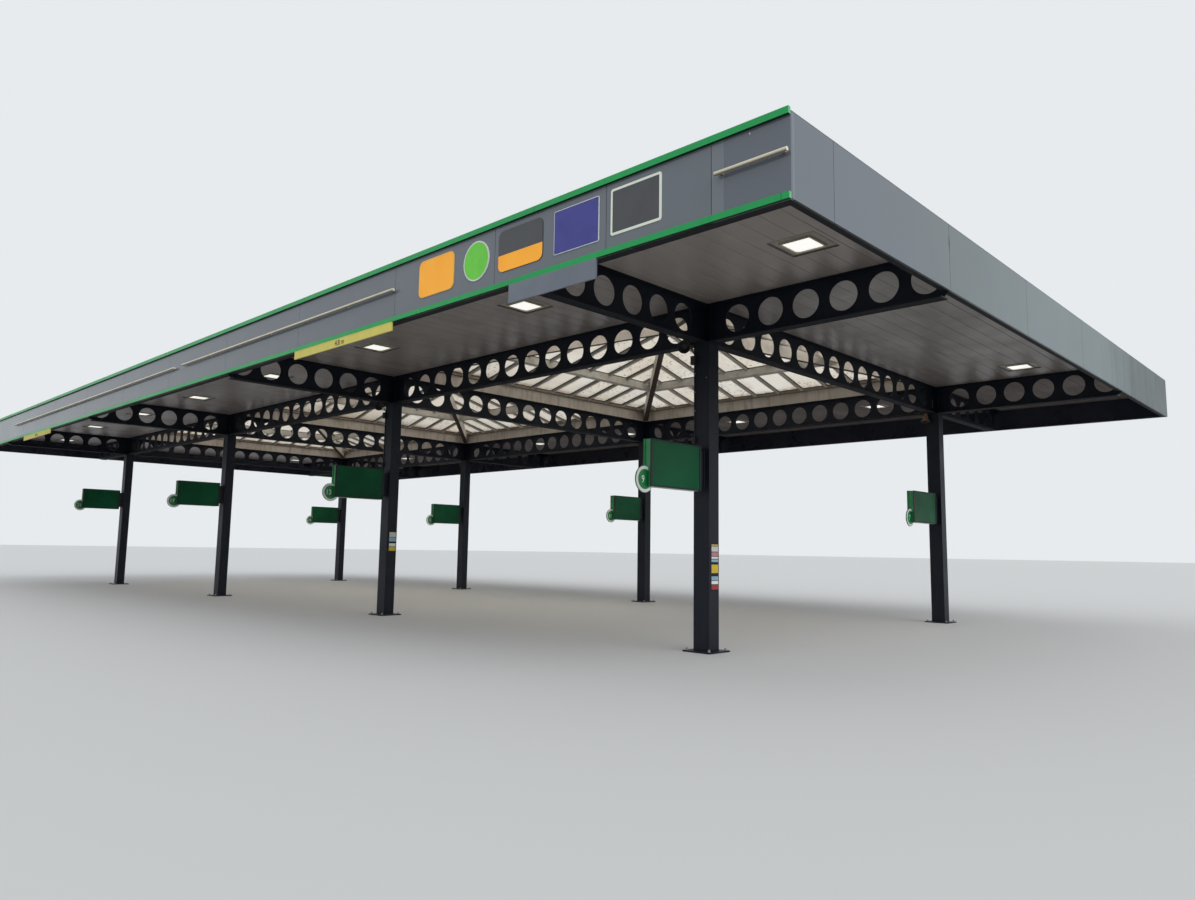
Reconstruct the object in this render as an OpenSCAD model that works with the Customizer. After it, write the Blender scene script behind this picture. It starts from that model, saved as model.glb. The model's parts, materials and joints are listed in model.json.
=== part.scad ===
// Filling station canopy: eight box columns, a grid of cellular beams, a deep
// fascia all round, plank ceilings over the overhangs and a pyramid rooflight over each bay.
// Millimetres, +Z up. X runs along the long front, the front faces -Y.
// The origin is on the ground, in the middle of the whole canopy.

/* [Column grid] */
// Distance between column lines, both ways
bay = 9000; // [8400:150:9600]
// From the front column row to the outer face of the front fascia
front_overhang = 3900; // [3700:50:4200]
// From the back column row to the outer face of the back fascia
back_overhang = 4350; // [4100:50:4600]
// From the end columns to the outer face of the end fascias
end_overhang = 3900; // [3700:50:4200]

/* [Columns] */
// Width of the column shaft along the front
column_w = 300; // [260:10:340]
// Depth of the column shaft
column_d = 250; // [220:10:300]
// Width of the base plate
base_w = 520; // [480:10:600]
// Thickness of the base plate
base_t = 25; // [20:5:40]
// Distance between the holding-down bolts, both ways
bolt_pitch = 420; // [400:10:440]
// Hole for a holding-down bolt
bolt_hole_d = 26; // [22:2:30]
// Thickness of the cap plate under the beams
cap_t = 20; // [15:5:30]

/* [Cellular beams] */
// Underside of the beams above the ground
steel_z = 4850; // [4700:50:5100]
// Depth of a beam
beam_h = 640; // [600:10:680]
// Width of the flanges
flange_w = 200; // [180:10:220]
// Thickness of the flanges
flange_t = 20; // [16:1:24]
// Thickness of the web
web_t = 12; // [10:1:16]
// Diameter of the round web openings
cell_d = 435; // [400:5:450]
// Web openings and solid posts to one bay
cells_per_bay = 15; // [15:1:15]
// Thickness of the stiffeners over the columns
stiffener_t = 15; // [10:1:20]

/* [Fascia] */
// Underside of the fascia above the ground
fascia_z = 4940; // [4900:10:5000]
// Height of the fascia panels
fascia_h = 890; // [850:10:950]
// Thickness of a fascia panel
panel_t = 30; // [20:5:40]
// Width of a standard fascia panel with its joint
panel_pitch = 3060; // [3060:10:3060]
// Width of the open joint between panels
joint_w = 8; // [4:1:12]
// Whole thickness of the fascia with its lining
fascia_t = 110; // [100:5:130]
// Thickness of the lining and of the return under the fascia
lining_t = 20; // [10:1:25]
// Width of a fascia post
post_w = 60; // [40:5:80]
// Height of the top rail behind the panels
rail_h = 60; // [40:5:80]
// Thickness of the capping on top of the fascia
capping_t = 8; // [5:1:12]

/* [Green strips] */
// Height of the strip along the top of the front fascia
top_strip_h = 75; // [60:5:110]
// How far the top strip stands above the panels
top_strip_rise = 40; // [20:5:50]
// Height of the strip along the bottom of the front fascia
bottom_strip_h = 70; // [60:5:90]
// How far the strips stand out from the panels
strip_t = 40; // [30:5:50]

/* [Front tubes and boards] */
// Diameter of the cream tubes on the front
tube_d = 45; // [35:1:55]
// Centre of the tubes above the ground
tube_z = 5425; // [5350:5:5450]
// Gap between tube and panel, bridged by brackets
tube_gap = 30; // [20:1:35]
// Height of the yellow headroom boards
height_board_h = 140; // [100:10:160]
// Height of the grey hanging board
grey_board_h = 245; // [200:5:260]
// Thickness of the boards
board_t = 25; // [15:5:35]

/* [Ceiling and roof] */
// Thickness of the plank ceiling
ceiling_t = 20; // [15:1:20]
// Depth of the roof purlins
purlin_h = 120; // [100:10:150]
// Width of the roof purlins
purlin_w = 60; // [50:5:80]
// Thickness of the roof sheet
sheet_t = 10; // [6:1:15]
// Height of the standing seams
seam_h = 50; // [30:5:60]
// Width of the standing seams
seam_w = 25; // [20:5:40]
// Distance between the standing seams
seam_pitch = 400; // [300:50:600]
// Width of the square recess of a ceiling light
light_tray_w = 675; // [600:5:700]
// Width of the lamp in the middle of the recess
light_lamp_w = 450; // [400:10:500]

/* [Rooflights] */
// Height of the kerb that carries the glazing
curb_h = 350; // [300:10:380]
// Thickness of the kerb walls
curb_t = 70; // [50:5:80]
// Rise of the glazing from kerb to apex
pyramid_rise = 1160; // [1000:10:1300]
// Distance between the glazing bars
bar_pitch = 720; // [720:10:720]
// Width of a glazing bar
bar_w = 60; // [40:5:70]
// Depth of a glazing bar
bar_h = 70; // [50:5:90]
// Width of the hip rafters
hip_w = 140; // [100:5:160]
// Depth of the hip rafters
hip_h = 340; // [260:10:340]
// Half the width of the square purlin ring, to its middle
ring_half = 2900; // [2700:50:3100]
// Width of the purlin ring
ring_w = 100; // [80:5:120]
// Depth of the purlin ring
ring_h = 200; // [160:10:240]
// Width of the eaves rail under the foot of the glazing
rail_w = 60; // [40:5:80]
// Width of the crown block where the hips meet
crown_w = 160; // [140:5:200]
// Thickness of the glazing
glass_t = 16; // [10:1:25]

/* [Column signs] */
// Length of a sign box
sign_l = 1217; // [1150:1:1250]
// Height of a sign box
sign_h = 700; // [650:10:750]
// Thickness of a sign box
sign_t = 160; // [140:5:180]
// Gap between the column and the sign box, bridged by a bracket
sign_gap = 103; // [60:1:120]
// Diameter of the number disc
disc_d = 390; // [340:10:420]

/* [Hidden] */

steel_grey = [0.10, 0.12, 0.15];
panel_grey = [0.45, 0.48, 0.50];
dark_grey = [0.20, 0.21, 0.22];
strip_green = [0.14, 0.55, 0.31];
tube_cream = [0.75, 0.72, 0.65];
board_yellow = [0.86, 0.80, 0.30];
board_grey = [0.42, 0.44, 0.48];
ceiling_grey = [0.42, 0.40, 0.38];
roof_grey = [0.60, 0.62, 0.63];
curb_beige = [0.55, 0.51, 0.46];
glass_cream = [0.85, 0.83, 0.77];
lamp_white = [0.97, 0.97, 0.95];
sign_green = [0.08, 0.38, 0.20];
horn_brown = [0.30, 0.22, 0.17];

bays = 3;
round_fn = 48;
bore_over = 2;

canopy_w = bays * bay + 2 * end_overhang;
canopy_d = bay + front_overhang + back_overhang;
front_proud = tube_gap + tube_d;
front_y = -(canopy_d + front_proud) / 2 + front_proud;
back_y = front_y + canopy_d;
row_front_y = front_y + front_overhang;
row_back_y = row_front_y + bay;
half_w = canopy_w / 2;

steel_top = steel_z + beam_h;
cell_pitch = bay / cells_per_bay;
cell_z = steel_z + beam_h / 2;
fascia_top = fascia_z + fascia_h;
lining_x = half_w - fascia_t;
lining_front_y = front_y + fascia_t;
lining_back_y = back_y - fascia_t;
ceiling_z = steel_top - ceiling_t;
purlin_top = steel_top + purlin_h;
post_depth = fascia_t - panel_t - lining_t;

curb_half = bay / 2 - 30;
eaves_half = curb_half - curb_t;
eaves_z = steel_top + curb_h;
glass_half = bay / 2 - 15;
pyramid_slope = pyramid_rise / eaves_half;
apex_z = eaves_z + pyramid_rise;
hip_slope = pyramid_slope / sqrt(2);

function column_x(i) = (i - (bays + 2) / 2) * bay;
function bay_x(i) = (i - (bays + 1) / 2) * bay;
function bay_y() = (row_front_y + row_back_y) / 2;

// Web openings on the grid between two places, clear of the beam's ends and of the columns
function cells(from, to, origin) = [
    for (k = [-60:60])
        let (x = origin + k * cell_pitch)
        if (k % cells_per_bay != 0 && x > from && x < to) x
];

// Joints of the front and back panels, as distances from the right end: a corner panel, a filler,
// three cut panels behind the card plates, standard panels, then fillers up to the left corner panel
corner_panel = 800;
filler_panel = 150;
first_standard = 6880;
standard_joints = 8;
last_standard = first_standard + (standard_joints - 1) * panel_pitch;
joint_places = [
    corner_panel, corner_panel + filler_panel, 2460, 4500,
    for (k = [0:standard_joints - 1]) first_standard + k * panel_pitch,
    last_standard + 500, last_standard + 500 + panel_pitch,
    canopy_w - corner_panel - filler_panel, canopy_w - corner_panel,
];
front_joints = [for (d = joint_places) half_w - d];
// Joints of the end panels from the front corner to the back one
end_corner_panel = 850;
end_joints = [for (k = [0:5]) front_y + end_corner_panel + k * panel_pitch];

// One box column with its base plate and cap plate
module column(i, y) {
    color(steel_grey)
    translate([column_x(i), y, 0]) {
        difference() {
            translate([-base_w / 2, -base_w / 2, 0]) cube([base_w, base_w, base_t]);
            for (sx = [-1, 1], sy = [-1, 1])
                translate([sx * bolt_pitch / 2, sy * bolt_pitch / 2, -bore_over])
                    cylinder(d = bolt_hole_d, h = base_t + 2 * bore_over, $fn = round_fn);
        }
        translate([-column_w / 2, -column_d / 2, base_t])
            cube([column_w, column_d, steel_z - cap_t - base_t]);
        translate([-column_w / 2 - cap_t, -column_d / 2 - cap_t, steel_z - cap_t])
            cube([column_w + 2 * cap_t, column_d + 2 * cap_t, cap_t]);
    }
}

// A length of beam along X between two places: flanges, and a web that may run on past them
module beam_length(from, to, web_from, web_to, origin) {
    for (z = [steel_z, steel_top - flange_t])
        translate([from, -flange_w / 2, z]) cube([to - from, flange_w, flange_t]);
    difference() {
        translate([web_from, -web_t / 2, steel_z + flange_t])
            cube([web_to - web_from, web_t, beam_h - 2 * flange_t]);
        for (x = cells(web_from, web_to, origin))
            translate([x, web_t / 2 + bore_over, cell_z]) rotate([90, 0, 0])
                cylinder(d = cell_d, h = web_t + 2 * bore_over, $fn = round_fn);
    }
}

// The end of a beam under the fascia: the bottom flange runs on and carries a pointed toe plate
toe_flange = 30;
toe_nose = 95;
module toe(x, way) {
    translate([x, 0, 0]) mirror([way < 0 ? 1 : 0, 0, 0]) {
        translate([0, -flange_w / 2, steel_z]) cube([toe_flange, flange_w, flange_t]);
        translate([0, web_t / 2, 0]) rotate([90, 0, 0]) linear_extrude(web_t)
            polygon([[0, steel_z + flange_t], [toe_flange, steel_z + flange_t],
                     [toe_nose, fascia_z], [0, fascia_z]]);
    }
}

// The far ends of the beams, at the back and left linings: the bottom flange stops short, and the web slopes
// up from there to the foot of the fascia
flange_cutback = 700;
module sloped_end(x, way) {
    difference() {
        children();
        translate([x, 0, 0]) mirror([way < 0 ? 1 : 0, 0, 0]) translate([0, flange_w, 0]) rotate([90, 0, 0])
            linear_extrude(2 * flange_w)
                polygon([[-flange_cutback, steel_z - bore_over], [bore_over, steel_z - bore_over],
                         [bore_over, fascia_z], [-flange_cutback, steel_z + flange_t]]);
    }
}

// Full-depth stiffeners on both sides of the web over a column
module stiffeners(x) {
    side_w = (flange_w - web_t) / 2;
    for (sx = [-1, 1], sy = [-1, 1])
        translate([x + sx * column_w / 2 - stiffener_t / 2, sy > 0 ? web_t / 2 : -web_t / 2 - side_w,
                   steel_z + flange_t])
            cube([stiffener_t, side_w, beam_h - 2 * flange_t]);
}

// The beam along one column row, from fascia to fascia
module row_beam(y) {
    color(steel_grey)
    translate([0, y, 0]) {
        sloped_end(-lining_x, -1) beam_length(-lining_x, lining_x, -lining_x, lining_x, column_x(1));
        toe(lining_x, 1);
        for (i = [1:bays + 1]) stiffeners(column_x(i));
    }
}

// The beam across the canopy on one column line: a bay and two cantilevers, coped to the row beams
module cross_beam(i) {
    cope = flange_w / 2;
    color(steel_grey)
    translate([column_x(i), 0, 0]) rotate([0, 0, 90]) {
        beam_length(lining_front_y, row_front_y - cope, lining_front_y, row_front_y - web_t / 2, row_front_y);
        beam_length(row_front_y + cope, row_back_y - cope,
                    row_front_y + web_t / 2, row_back_y - web_t / 2, row_front_y);
        sloped_end(lining_back_y, 1)
            beam_length(row_back_y + cope, lining_back_y, row_back_y + web_t / 2, lining_back_y, row_front_y);
        toe(lining_front_y, -1);
    }
}

// Panels of one fascia along X between its ends, split at the joints
module panel_run(from, to, joints) {
    ends = concat([to + joint_w / 2], joints, [from - joint_w / 2]);
    for (k = [0:len(ends) - 2])
        translate([ends[k + 1] + joint_w / 2, 0, fascia_z])
            cube([ends[k] - ends[k + 1] - joint_w, panel_t, fascia_h]);
}

// Lining, return, posts, top rail and capping behind one fascia along X
module fascia_frame_run(from, to, panel_from, panel_to, joints) {
    inner = fascia_t - lining_t;
    translate([from, panel_t, fascia_z]) cube([to - from, fascia_t - panel_t, lining_t]);
    translate([from, inner, fascia_z + lining_t]) cube([to - from, lining_t, fascia_h - lining_t]);
    translate([from, panel_t, fascia_top - rail_h]) cube([to - from, inner - panel_t, rail_h]);
    translate([panel_from, 0, fascia_top]) cube([panel_to - panel_from, fascia_t, capping_t]);
    for (x = joints)
        translate([x - post_w / 2, panel_t, fascia_z + lining_t])
            cube([post_w, post_depth, fascia_h - lining_t - rail_h]);
}

module fascia_front() {
    color(panel_grey) translate([0, front_y, 0]) panel_run(-half_w, half_w, front_joints);
}

module fascia_back() {
    color(panel_grey) translate([0, back_y, 0]) rotate([0, 0, 180]) panel_run(-half_w, half_w, front_joints);
}

// The end panels stand between the front and back ones
module fascia_end(side) {
    color(panel_grey)
    mirror([side < 0 ? 1 : 0, 0, 0]) translate([half_w, 0, 0]) rotate([0, 0, 90])
        panel_run(front_y + panel_t, back_y - panel_t, [for (k = [5:-1:0]) end_joints[k]]);
}

module fascia_frame_front() {
    color(dark_grey) translate([0, front_y, 0])
        fascia_frame_run(-half_w + panel_t, half_w - panel_t, -half_w, half_w, front_joints);
}

module fascia_frame_back() {
    color(dark_grey) translate([0, back_y, 0]) rotate([0, 0, 180])
        fascia_frame_run(-half_w + panel_t, half_w - panel_t, -half_w, half_w, front_joints);
}

module fascia_frame_end(side) {
    color(dark_grey)
    mirror([side < 0 ? 1 : 0, 0, 0]) translate([half_w, 0, 0]) rotate([0, 0, 90])
        fascia_frame_run(lining_front_y, lining_back_y, lining_front_y, lining_back_y, end_joints);
}

// A green strip in lengths that meet at most of the panel joints, but not at the corner panels
strip_joint_w = 3;
strip_joints = [for (x = front_joints) if (abs(x) < half_w - corner_panel - 1) x];
module strip(z, h) {
    ends = concat([half_w + strip_joint_w / 2], strip_joints, [-half_w - strip_joint_w / 2]);
    color(strip_green)
    for (k = [0:len(ends) - 2])
        translate([ends[k + 1] + strip_joint_w / 2, front_y - strip_t, z])
            cube([ends[k] - ends[k + 1] - strip_joint_w, strip_t, h]);
}

module strip_top() {
    strip(fascia_top + top_strip_rise - top_strip_h, top_strip_h);
}

strip_drop = 10;
module strip_bottom() {
    strip(fascia_z - strip_drop, bottom_strip_h);
}

// The cream tubes on the front, each held off the panels by short brackets
tube_runs = [[half_w - 870, half_w - 10], [half_w - 15160, half_w - 6850], [half_w - 29800, half_w - 15620]];
bracket_pitch = 1500;
module front_tubes() {
    bracket = 40;
    color(tube_cream)
    for (run = tube_runs) {
        translate([run[0], front_y - tube_gap - tube_d / 2, tube_z]) rotate([0, 90, 0])
            cylinder(d = tube_d, h = run[1] - run[0], $fn = round_fn);
        n = max(1, round((run[1] - run[0]) / bracket_pitch));
        for (k = [0:n])
            translate([run[0] + bracket + (run[1] - run[0] - 3 * bracket) * k / n,
                       front_y - tube_gap - tube_d / 2, tube_z - bracket / 4])
                cube([bracket, tube_gap + tube_d / 2, bracket / 2]);
    }
}

// A board hung under the bottom strip, between two distances from the right end
module hung_board(right, left, h) {
    translate([half_w - left, front_y - strip_t, fascia_z - strip_drop - h]) cube([left - right, board_t, h]);
}

module height_boards() {
    color(board_yellow) {
        hung_board(6880, 9970, height_board_h);
        hung_board(25410, 28500, height_board_h);
    }
}

module grey_board() {
    color(board_grey) hung_board(2580, 4150, grey_board_h);
}

// Five blank plates on the front fascia: left edge, width, foot and height of each
plate_t = 12;
plates = [
    [half_w - 6240, 850, 5155, 560],
    [half_w - 5170, 560, 5150, 560],
    [half_w - 4410, 860, 5150, 560],
    [half_w - 3340, 770, 5140, 560],
    [half_w - 2380, 760, 5150, 560],
];
module sign_plates() {
    color(board_grey)
    for (p = plates)
        translate([p[0], front_y - plate_t, p[2]]) cube([p[1], plate_t, p[3]]);
}

// Middles of the ceiling lights: a row over each long overhang, and two lights at each end
light_first = 6100;
light_pitch = 4430;
light_front = row_front_y - 1950;
light_back = row_back_y + 1530;
light_row_xs = [for (k = [0:5]) half_w - light_first - k * light_pitch];
light_spots = concat(
    [for (x = light_row_xs) [x, light_front]],
    [for (x = light_row_xs) [x, light_back]],
    [for (s = [-1, 1]) [s * (half_w - 1300), row_front_y - 1440]],
    [for (s = [-1, 1]) [s * (half_w - 1600), row_back_y - 1190]]
);

// A square hole or tray about the middle of each light
module at_lights(z, w, h) {
    for (p = light_spots)
        translate([p[0] - w / 2, p[1] - w / 2, z]) cube([w, w, h]);
}

// One field of plank ceiling, cut out for the lights in it
module ceiling_field(x0, x1, y0, y1) {
    color(ceiling_grey)
    difference() {
        translate([x0, y0, ceiling_z]) cube([x1 - x0, y1 - y0, ceiling_t]);
        at_lights(ceiling_z - bore_over, light_tray_w, ceiling_t + 2 * bore_over);
    }
}

// The ceiling of the front or back overhang, one field between each two beams
module ceiling_row(y0, y1) {
    edge = flange_w / 2;
    xs = concat([-lining_x - edge], [for (i = [1:bays + 1]) column_x(i)], [lining_x + edge]);
    for (k = [0:len(xs) - 2])
        ceiling_field(xs[k] + edge, xs[k + 1] - edge, y0, y1);
}

module ceiling_front() {
    ceiling_row(lining_front_y, row_front_y - flange_w / 2);
}

module ceiling_back() {
    ceiling_row(row_back_y + flange_w / 2, lining_back_y);
}

// The ceiling of an end overhang, between the two row beams
module ceiling_end(side) {
    mirror([side < 0 ? 1 : 0, 0, 0])
        ceiling_field(column_x(bays + 1) + flange_w / 2, lining_x,
                      row_front_y + flange_w / 2, row_back_y - flange_w / 2);
}

// A square ceiling light: a tray that closes the recess from above, and a lamp that stands down from it
light_tray_t = 6;
light_lamp_h = 45;
tray_gap = 2;
module ceiling_lights() {
    tray_z = steel_top - light_tray_t;
    color(lamp_white) {
        at_lights(tray_z, light_tray_w - tray_gap, light_tray_t);
        at_lights(tray_z - light_lamp_h, light_lamp_w, light_lamp_h);
    }
}

// Purlins and standing-seam sheet over one overhang, along X
module roof_run(x0, x1, y0, y1, purlins) {
    for (y = purlins)
        translate([x0, y, steel_top]) cube([x1 - x0, purlin_w, purlin_h]);
    translate([x0, y0, purlin_top]) cube([x1 - x0, y1 - y0, sheet_t]);
    seams = floor((x1 - x0) / seam_pitch);
    for (k = [1:seams - 1])
        translate([x0 + k * (x1 - x0) / seams - seam_w / 2, y0, purlin_top + sheet_t])
            cube([seam_w, y1 - y0, seam_h]);
}

// Places of the purlins between two edges
function purlin_places(y0, y1, n) = [for (k = [0:n]) y0 + k * (y1 - y0 - purlin_w) / n];

roof_lap = 30;
module roof_front() {
    y1 = row_front_y + roof_lap;
    color(roof_grey)
        roof_run(-lining_x, lining_x, lining_front_y, y1, purlin_places(lining_front_y, y1, 3));
}

module roof_back() {
    y0 = row_back_y - roof_lap;
    color(roof_grey)
        roof_run(-lining_x, lining_x, y0, lining_back_y, purlin_places(y0, lining_back_y, 3));
}

module roof_end(side) {
    x0 = bays * bay / 2 - roof_lap;
    color(roof_grey)
    mirror([side < 0 ? 1 : 0, 0, 0]) translate([x0, 0, 0]) rotate([0, 0, 90])
        translate([0, -(lining_x - x0), 0])
            roof_run(row_front_y + roof_lap, row_back_y - roof_lap, 0, lining_x - x0,
                     purlin_places(0, lining_x - x0, 3));
}

// Everything inside a bay below the slope of the glazing
module under_slope(half) {
    low_z = apex_z - pyramid_slope * half;
    profile = [[-half, steel_top], [half, steel_top], [half, low_z], [0, apex_z], [-half, low_z]];
    intersection() {
        translate([0, half, 0]) rotate([90, 0, 0]) linear_extrude(2 * half) polygon(profile);
        translate([-half, 0, 0]) rotate([90, 0, 90]) linear_extrude(2 * half) polygon(profile);
    }
}

module rooflight_curb(i) {
    color(curb_beige)
    translate([bay_x(i), bay_y(), 0])
    difference() {
        under_slope(curb_half);
        translate([-eaves_half, -eaves_half, steel_top - bore_over])
            cube([2 * eaves_half, 2 * eaves_half, curb_h + pyramid_rise + 2 * bore_over]);
    }
}

// Four deep hip rafters from the crown block to the corners of the kerb
module rooflight_hips(i) {
    crown_z = apex_z - hip_slope * crown_w / 2;
    corner_u = eaves_half * sqrt(2);
    corner_z = apex_z - hip_slope * corner_u;
    color(curb_beige)
    translate([bay_x(i), bay_y(), 0])
    for (turn = [0:3])
        intersection() {
            rotate([0, 0, 45 + 90 * turn]) translate([0, hip_w / 2, 0]) rotate([90, 0, 0]) linear_extrude(hip_w)
                polygon([[crown_w / 2, crown_z], [corner_u, corner_z],
                         [corner_u, corner_z - hip_h], [crown_w / 2, crown_z - hip_h]]);
            under_slope(eaves_half);
        }
}

// A band of one slope between two distances from the apex, from the glazing's underside downwards
module slope_band(from, to, w, depth, lift = 0) {
    from_z = apex_z - pyramid_slope * from + lift;
    to_z = apex_z - pyramid_slope * to + lift;
    translate([-w / 2, 0, 0]) rotate([90, 0, 90]) linear_extrude(w)
        polygon([[from, from_z], [to, to_z], [to, to_z - depth], [from, from_z - depth]]);
}

// What lies over one of the four slopes, a little way off the two hip lines
module one_slope(half, off) {
    intersection() {
        children();
        translate([0, 0, steel_top]) linear_extrude(apex_z)
            polygon([[0, off], [half - off, half], [off - half, half]]);
    }
}

// One side of the glazing frame: twelve bars from kerb to hips, the purlin across them and the eaves rail
module slope_lattice() {
    one_slope(eaves_half, hip_w / sqrt(2)) {
        union() {
            for (k = [-6:5]) {
                b = (k + 0.5) * bar_pitch;
                translate([b, 0, 0]) slope_band(abs(b), eaves_half, bar_w, bar_h);
            }
            slope_band(ring_half - ring_w / 2, ring_half + ring_w / 2, 2 * eaves_half, ring_h);
            slope_band(eaves_half - rail_w, eaves_half, 2 * eaves_half, bar_h);
        }
    }
}

crown_drop = 30;
cap_w = 260;
module rooflight_bars(i) {
    foot_z = apex_z - hip_h - crown_drop;
    glass_top = apex_z + glass_t;
    color(curb_beige)
    translate([bay_x(i), bay_y(), 0]) {
        for (turn = [0:3]) rotate([0, 0, 90 * turn]) slope_lattice();
        rotate([0, 0, 45]) {
            translate([-crown_w / 2, -crown_w / 2, foot_z]) cube([crown_w, crown_w, glass_top - foot_z]);
            translate([-cap_w / 2, -cap_w / 2, glass_top]) cube([cap_w, cap_w, cap_t]);
        }
    }
}

// Four flat sloping panes, open along the hips and round the crown block
hip_gap = 15;
crown_gap = 125;
module rooflight_glazing(i) {
    color(glass_cream)
    translate([bay_x(i), bay_y(), 0])
    for (turn = [0:3]) rotate([0, 0, 90 * turn])
        one_slope(glass_half, hip_gap * sqrt(2))
            slope_band(crown_gap, glass_half, 2 * glass_half, glass_t, glass_t);
}

// Undersides of the sign boxes above the ground, from the left column to the right one
sign_feet_front = [2780, 2670, 2600, 2465];
sign_feet_back = [2550, 2430, 2440, 2250];
rim_end = 45;
rim_edge = 20;
face_in = 8;
channel_w = 100;
channel_d = 25;
disc_t = 20;
disc_out = 54;
disc_rise = 100;

// A sign box on a column: bracket, box with sunk faces and an open channel down its outer end, and a
// number disc that stands out of the channel
module column_sign(i, y, foot) {
    y_end = -column_d / 2 - sign_gap - sign_l;
    color(sign_green)
    translate([column_x(i), y, foot]) {
        difference() {
            translate([-sign_t / 2, y_end, 0]) cube([sign_t, sign_l, sign_h]);
            for (s = [-1, 1])
                translate([s * sign_t / 2 - face_in, y_end + rim_end, rim_edge])
                    cube([2 * face_in, sign_l - 2 * rim_end, sign_h - 2 * rim_edge]);
            translate([-channel_w / 2, y_end - bore_over, -bore_over])
                cube([channel_w, channel_d + bore_over, sign_h + 2 * bore_over]);
        }
        translate([-sign_t / 4, y_end + sign_l, sign_h / 8]) cube([sign_t / 2, sign_gap, sign_h * 3 / 4]);
        translate([-disc_t / 2, y_end - disc_out, disc_rise]) rotate([0, 90, 0])
            cylinder(d = disc_d, h = disc_t, $fn = round_fn);
    }
}

module column_signs(y, feet) {
    for (i = [1:bays + 1]) column_sign(i, y, feet[i - 1]);
}

// A horn speaker with its mouth at the origin, looking along -Z, and a bent bracket at its back
horn_r = 105;
horn_l = 200;
horn_wall = 8;
throat_r = 35;
module horn() {
    bell = [[horn_r, 0], [horn_r, 12], [60, 90], [throat_r, 140], [throat_r, horn_l], [0, horn_l],
            [0, 130], [throat_r - horn_wall, 130], [60 - horn_wall, 84], [horn_r - horn_wall, 0]];
    rotate_extrude($fn = round_fn) polygon(bell);
    cylinder(r = horn_wall, h = horn_l - 20, $fn = round_fn);
    translate([-throat_r / 2, 0, horn_l - 40]) cube([throat_r, 90, 25]);
}

// Each horn: column, row, place of its mouth from the column's middle, height, turn and tilt
horn_spots = [
    [4, row_front_y, -250, -260, 4790, 30, 70],
    [3, row_front_y, -250, -260, 4790, 30, 70],
    [4, row_back_y, -105, -260, 4640, 0, 10],
];
module speakers() {
    color(horn_brown)
    for (h = horn_spots)
        translate([column_x(h[0]) + h[2], h[1] + h[3], h[4]]) rotate([0, 0, h[5]]) rotate([-h[6], 0, 0]) horn();
}

column(1, row_front_y);  // column_front_1
column(2, row_front_y);  // column_front_2
column(3, row_front_y);  // column_front_3
column(4, row_front_y);  // column_front_4
column(1, row_back_y);  // column_back_1
column(2, row_back_y);  // column_back_2
column(3, row_back_y);  // column_back_3
column(4, row_back_y);  // column_back_4
row_beam(row_front_y);  // row_beam_front
row_beam(row_back_y);  // row_beam_back
cross_beam(1);  // cross_beam_1
cross_beam(2);  // cross_beam_2
cross_beam(3);  // cross_beam_3
cross_beam(4);  // cross_beam_4
fascia_front();
fascia_back();
fascia_end(-1);  // fascia_left
fascia_end(1);  // fascia_right
fascia_frame_front();
fascia_frame_back();
fascia_frame_end(-1);  // fascia_frame_left
fascia_frame_end(1);  // fascia_frame_right
strip_top();
strip_bottom();
front_tubes();
height_boards();
grey_board();
sign_plates();
ceiling_front();
ceiling_back();
ceiling_end(-1);  // ceiling_left
ceiling_end(1);  // ceiling_right
ceiling_lights();
roof_front();
roof_back();
roof_end(-1);  // roof_left
roof_end(1);  // roof_right
rooflight_curb(1);  // rooflight_curb_1
rooflight_curb(2);  // rooflight_curb_2
rooflight_curb(3);  // rooflight_curb_3
rooflight_hips(1);  // rooflight_hips_1
rooflight_hips(2);  // rooflight_hips_2
rooflight_hips(3);  // rooflight_hips_3
rooflight_bars(1);  // rooflight_bars_1
rooflight_bars(2);  // rooflight_bars_2
rooflight_bars(3);  // rooflight_bars_3
rooflight_glazing(1);  // rooflight_glazing_1
rooflight_glazing(2);  // rooflight_glazing_2
rooflight_glazing(3);  // rooflight_glazing_3
column_signs(row_front_y, sign_feet_front);  // column_signs_front
column_signs(row_back_y, sign_feet_back);  // column_signs_back
speakers();
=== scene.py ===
# %% [markdown]
# # Filling station canopy
# The canopy stands over the lanes of a filling station: eight box columns, a grid of dark cellular
# beams, a deep grey fascia with green strips, plank ceilings over the overhangs and three pyramid
# rooflights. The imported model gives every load-bearing piece at its real size. This script keeps
# those pieces, gives each its paint, and adds the thin pieces that a fitter would fix to them:
# planks, gaskets, caps, plates, bolts and cables. Everything is in metres, in the frame of the
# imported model.

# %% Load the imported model
import json
import math

import bpy
from mathutils import Matrix, Vector


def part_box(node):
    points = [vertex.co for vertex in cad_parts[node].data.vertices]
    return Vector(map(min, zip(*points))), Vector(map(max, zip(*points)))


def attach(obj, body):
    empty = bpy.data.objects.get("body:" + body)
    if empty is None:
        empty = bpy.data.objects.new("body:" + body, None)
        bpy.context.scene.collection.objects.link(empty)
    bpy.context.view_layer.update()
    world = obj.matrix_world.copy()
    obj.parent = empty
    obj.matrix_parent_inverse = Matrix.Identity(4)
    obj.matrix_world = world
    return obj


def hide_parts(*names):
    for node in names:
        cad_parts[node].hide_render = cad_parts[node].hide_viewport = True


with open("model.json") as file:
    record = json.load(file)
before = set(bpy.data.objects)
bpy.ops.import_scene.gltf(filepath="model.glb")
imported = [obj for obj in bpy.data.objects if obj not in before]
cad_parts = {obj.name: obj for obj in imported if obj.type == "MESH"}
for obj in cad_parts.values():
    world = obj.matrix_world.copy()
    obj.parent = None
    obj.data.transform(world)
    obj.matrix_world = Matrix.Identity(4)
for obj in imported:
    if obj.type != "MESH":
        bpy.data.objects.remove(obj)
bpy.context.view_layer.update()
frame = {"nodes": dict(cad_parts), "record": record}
nodes = frame["nodes"]

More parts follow.
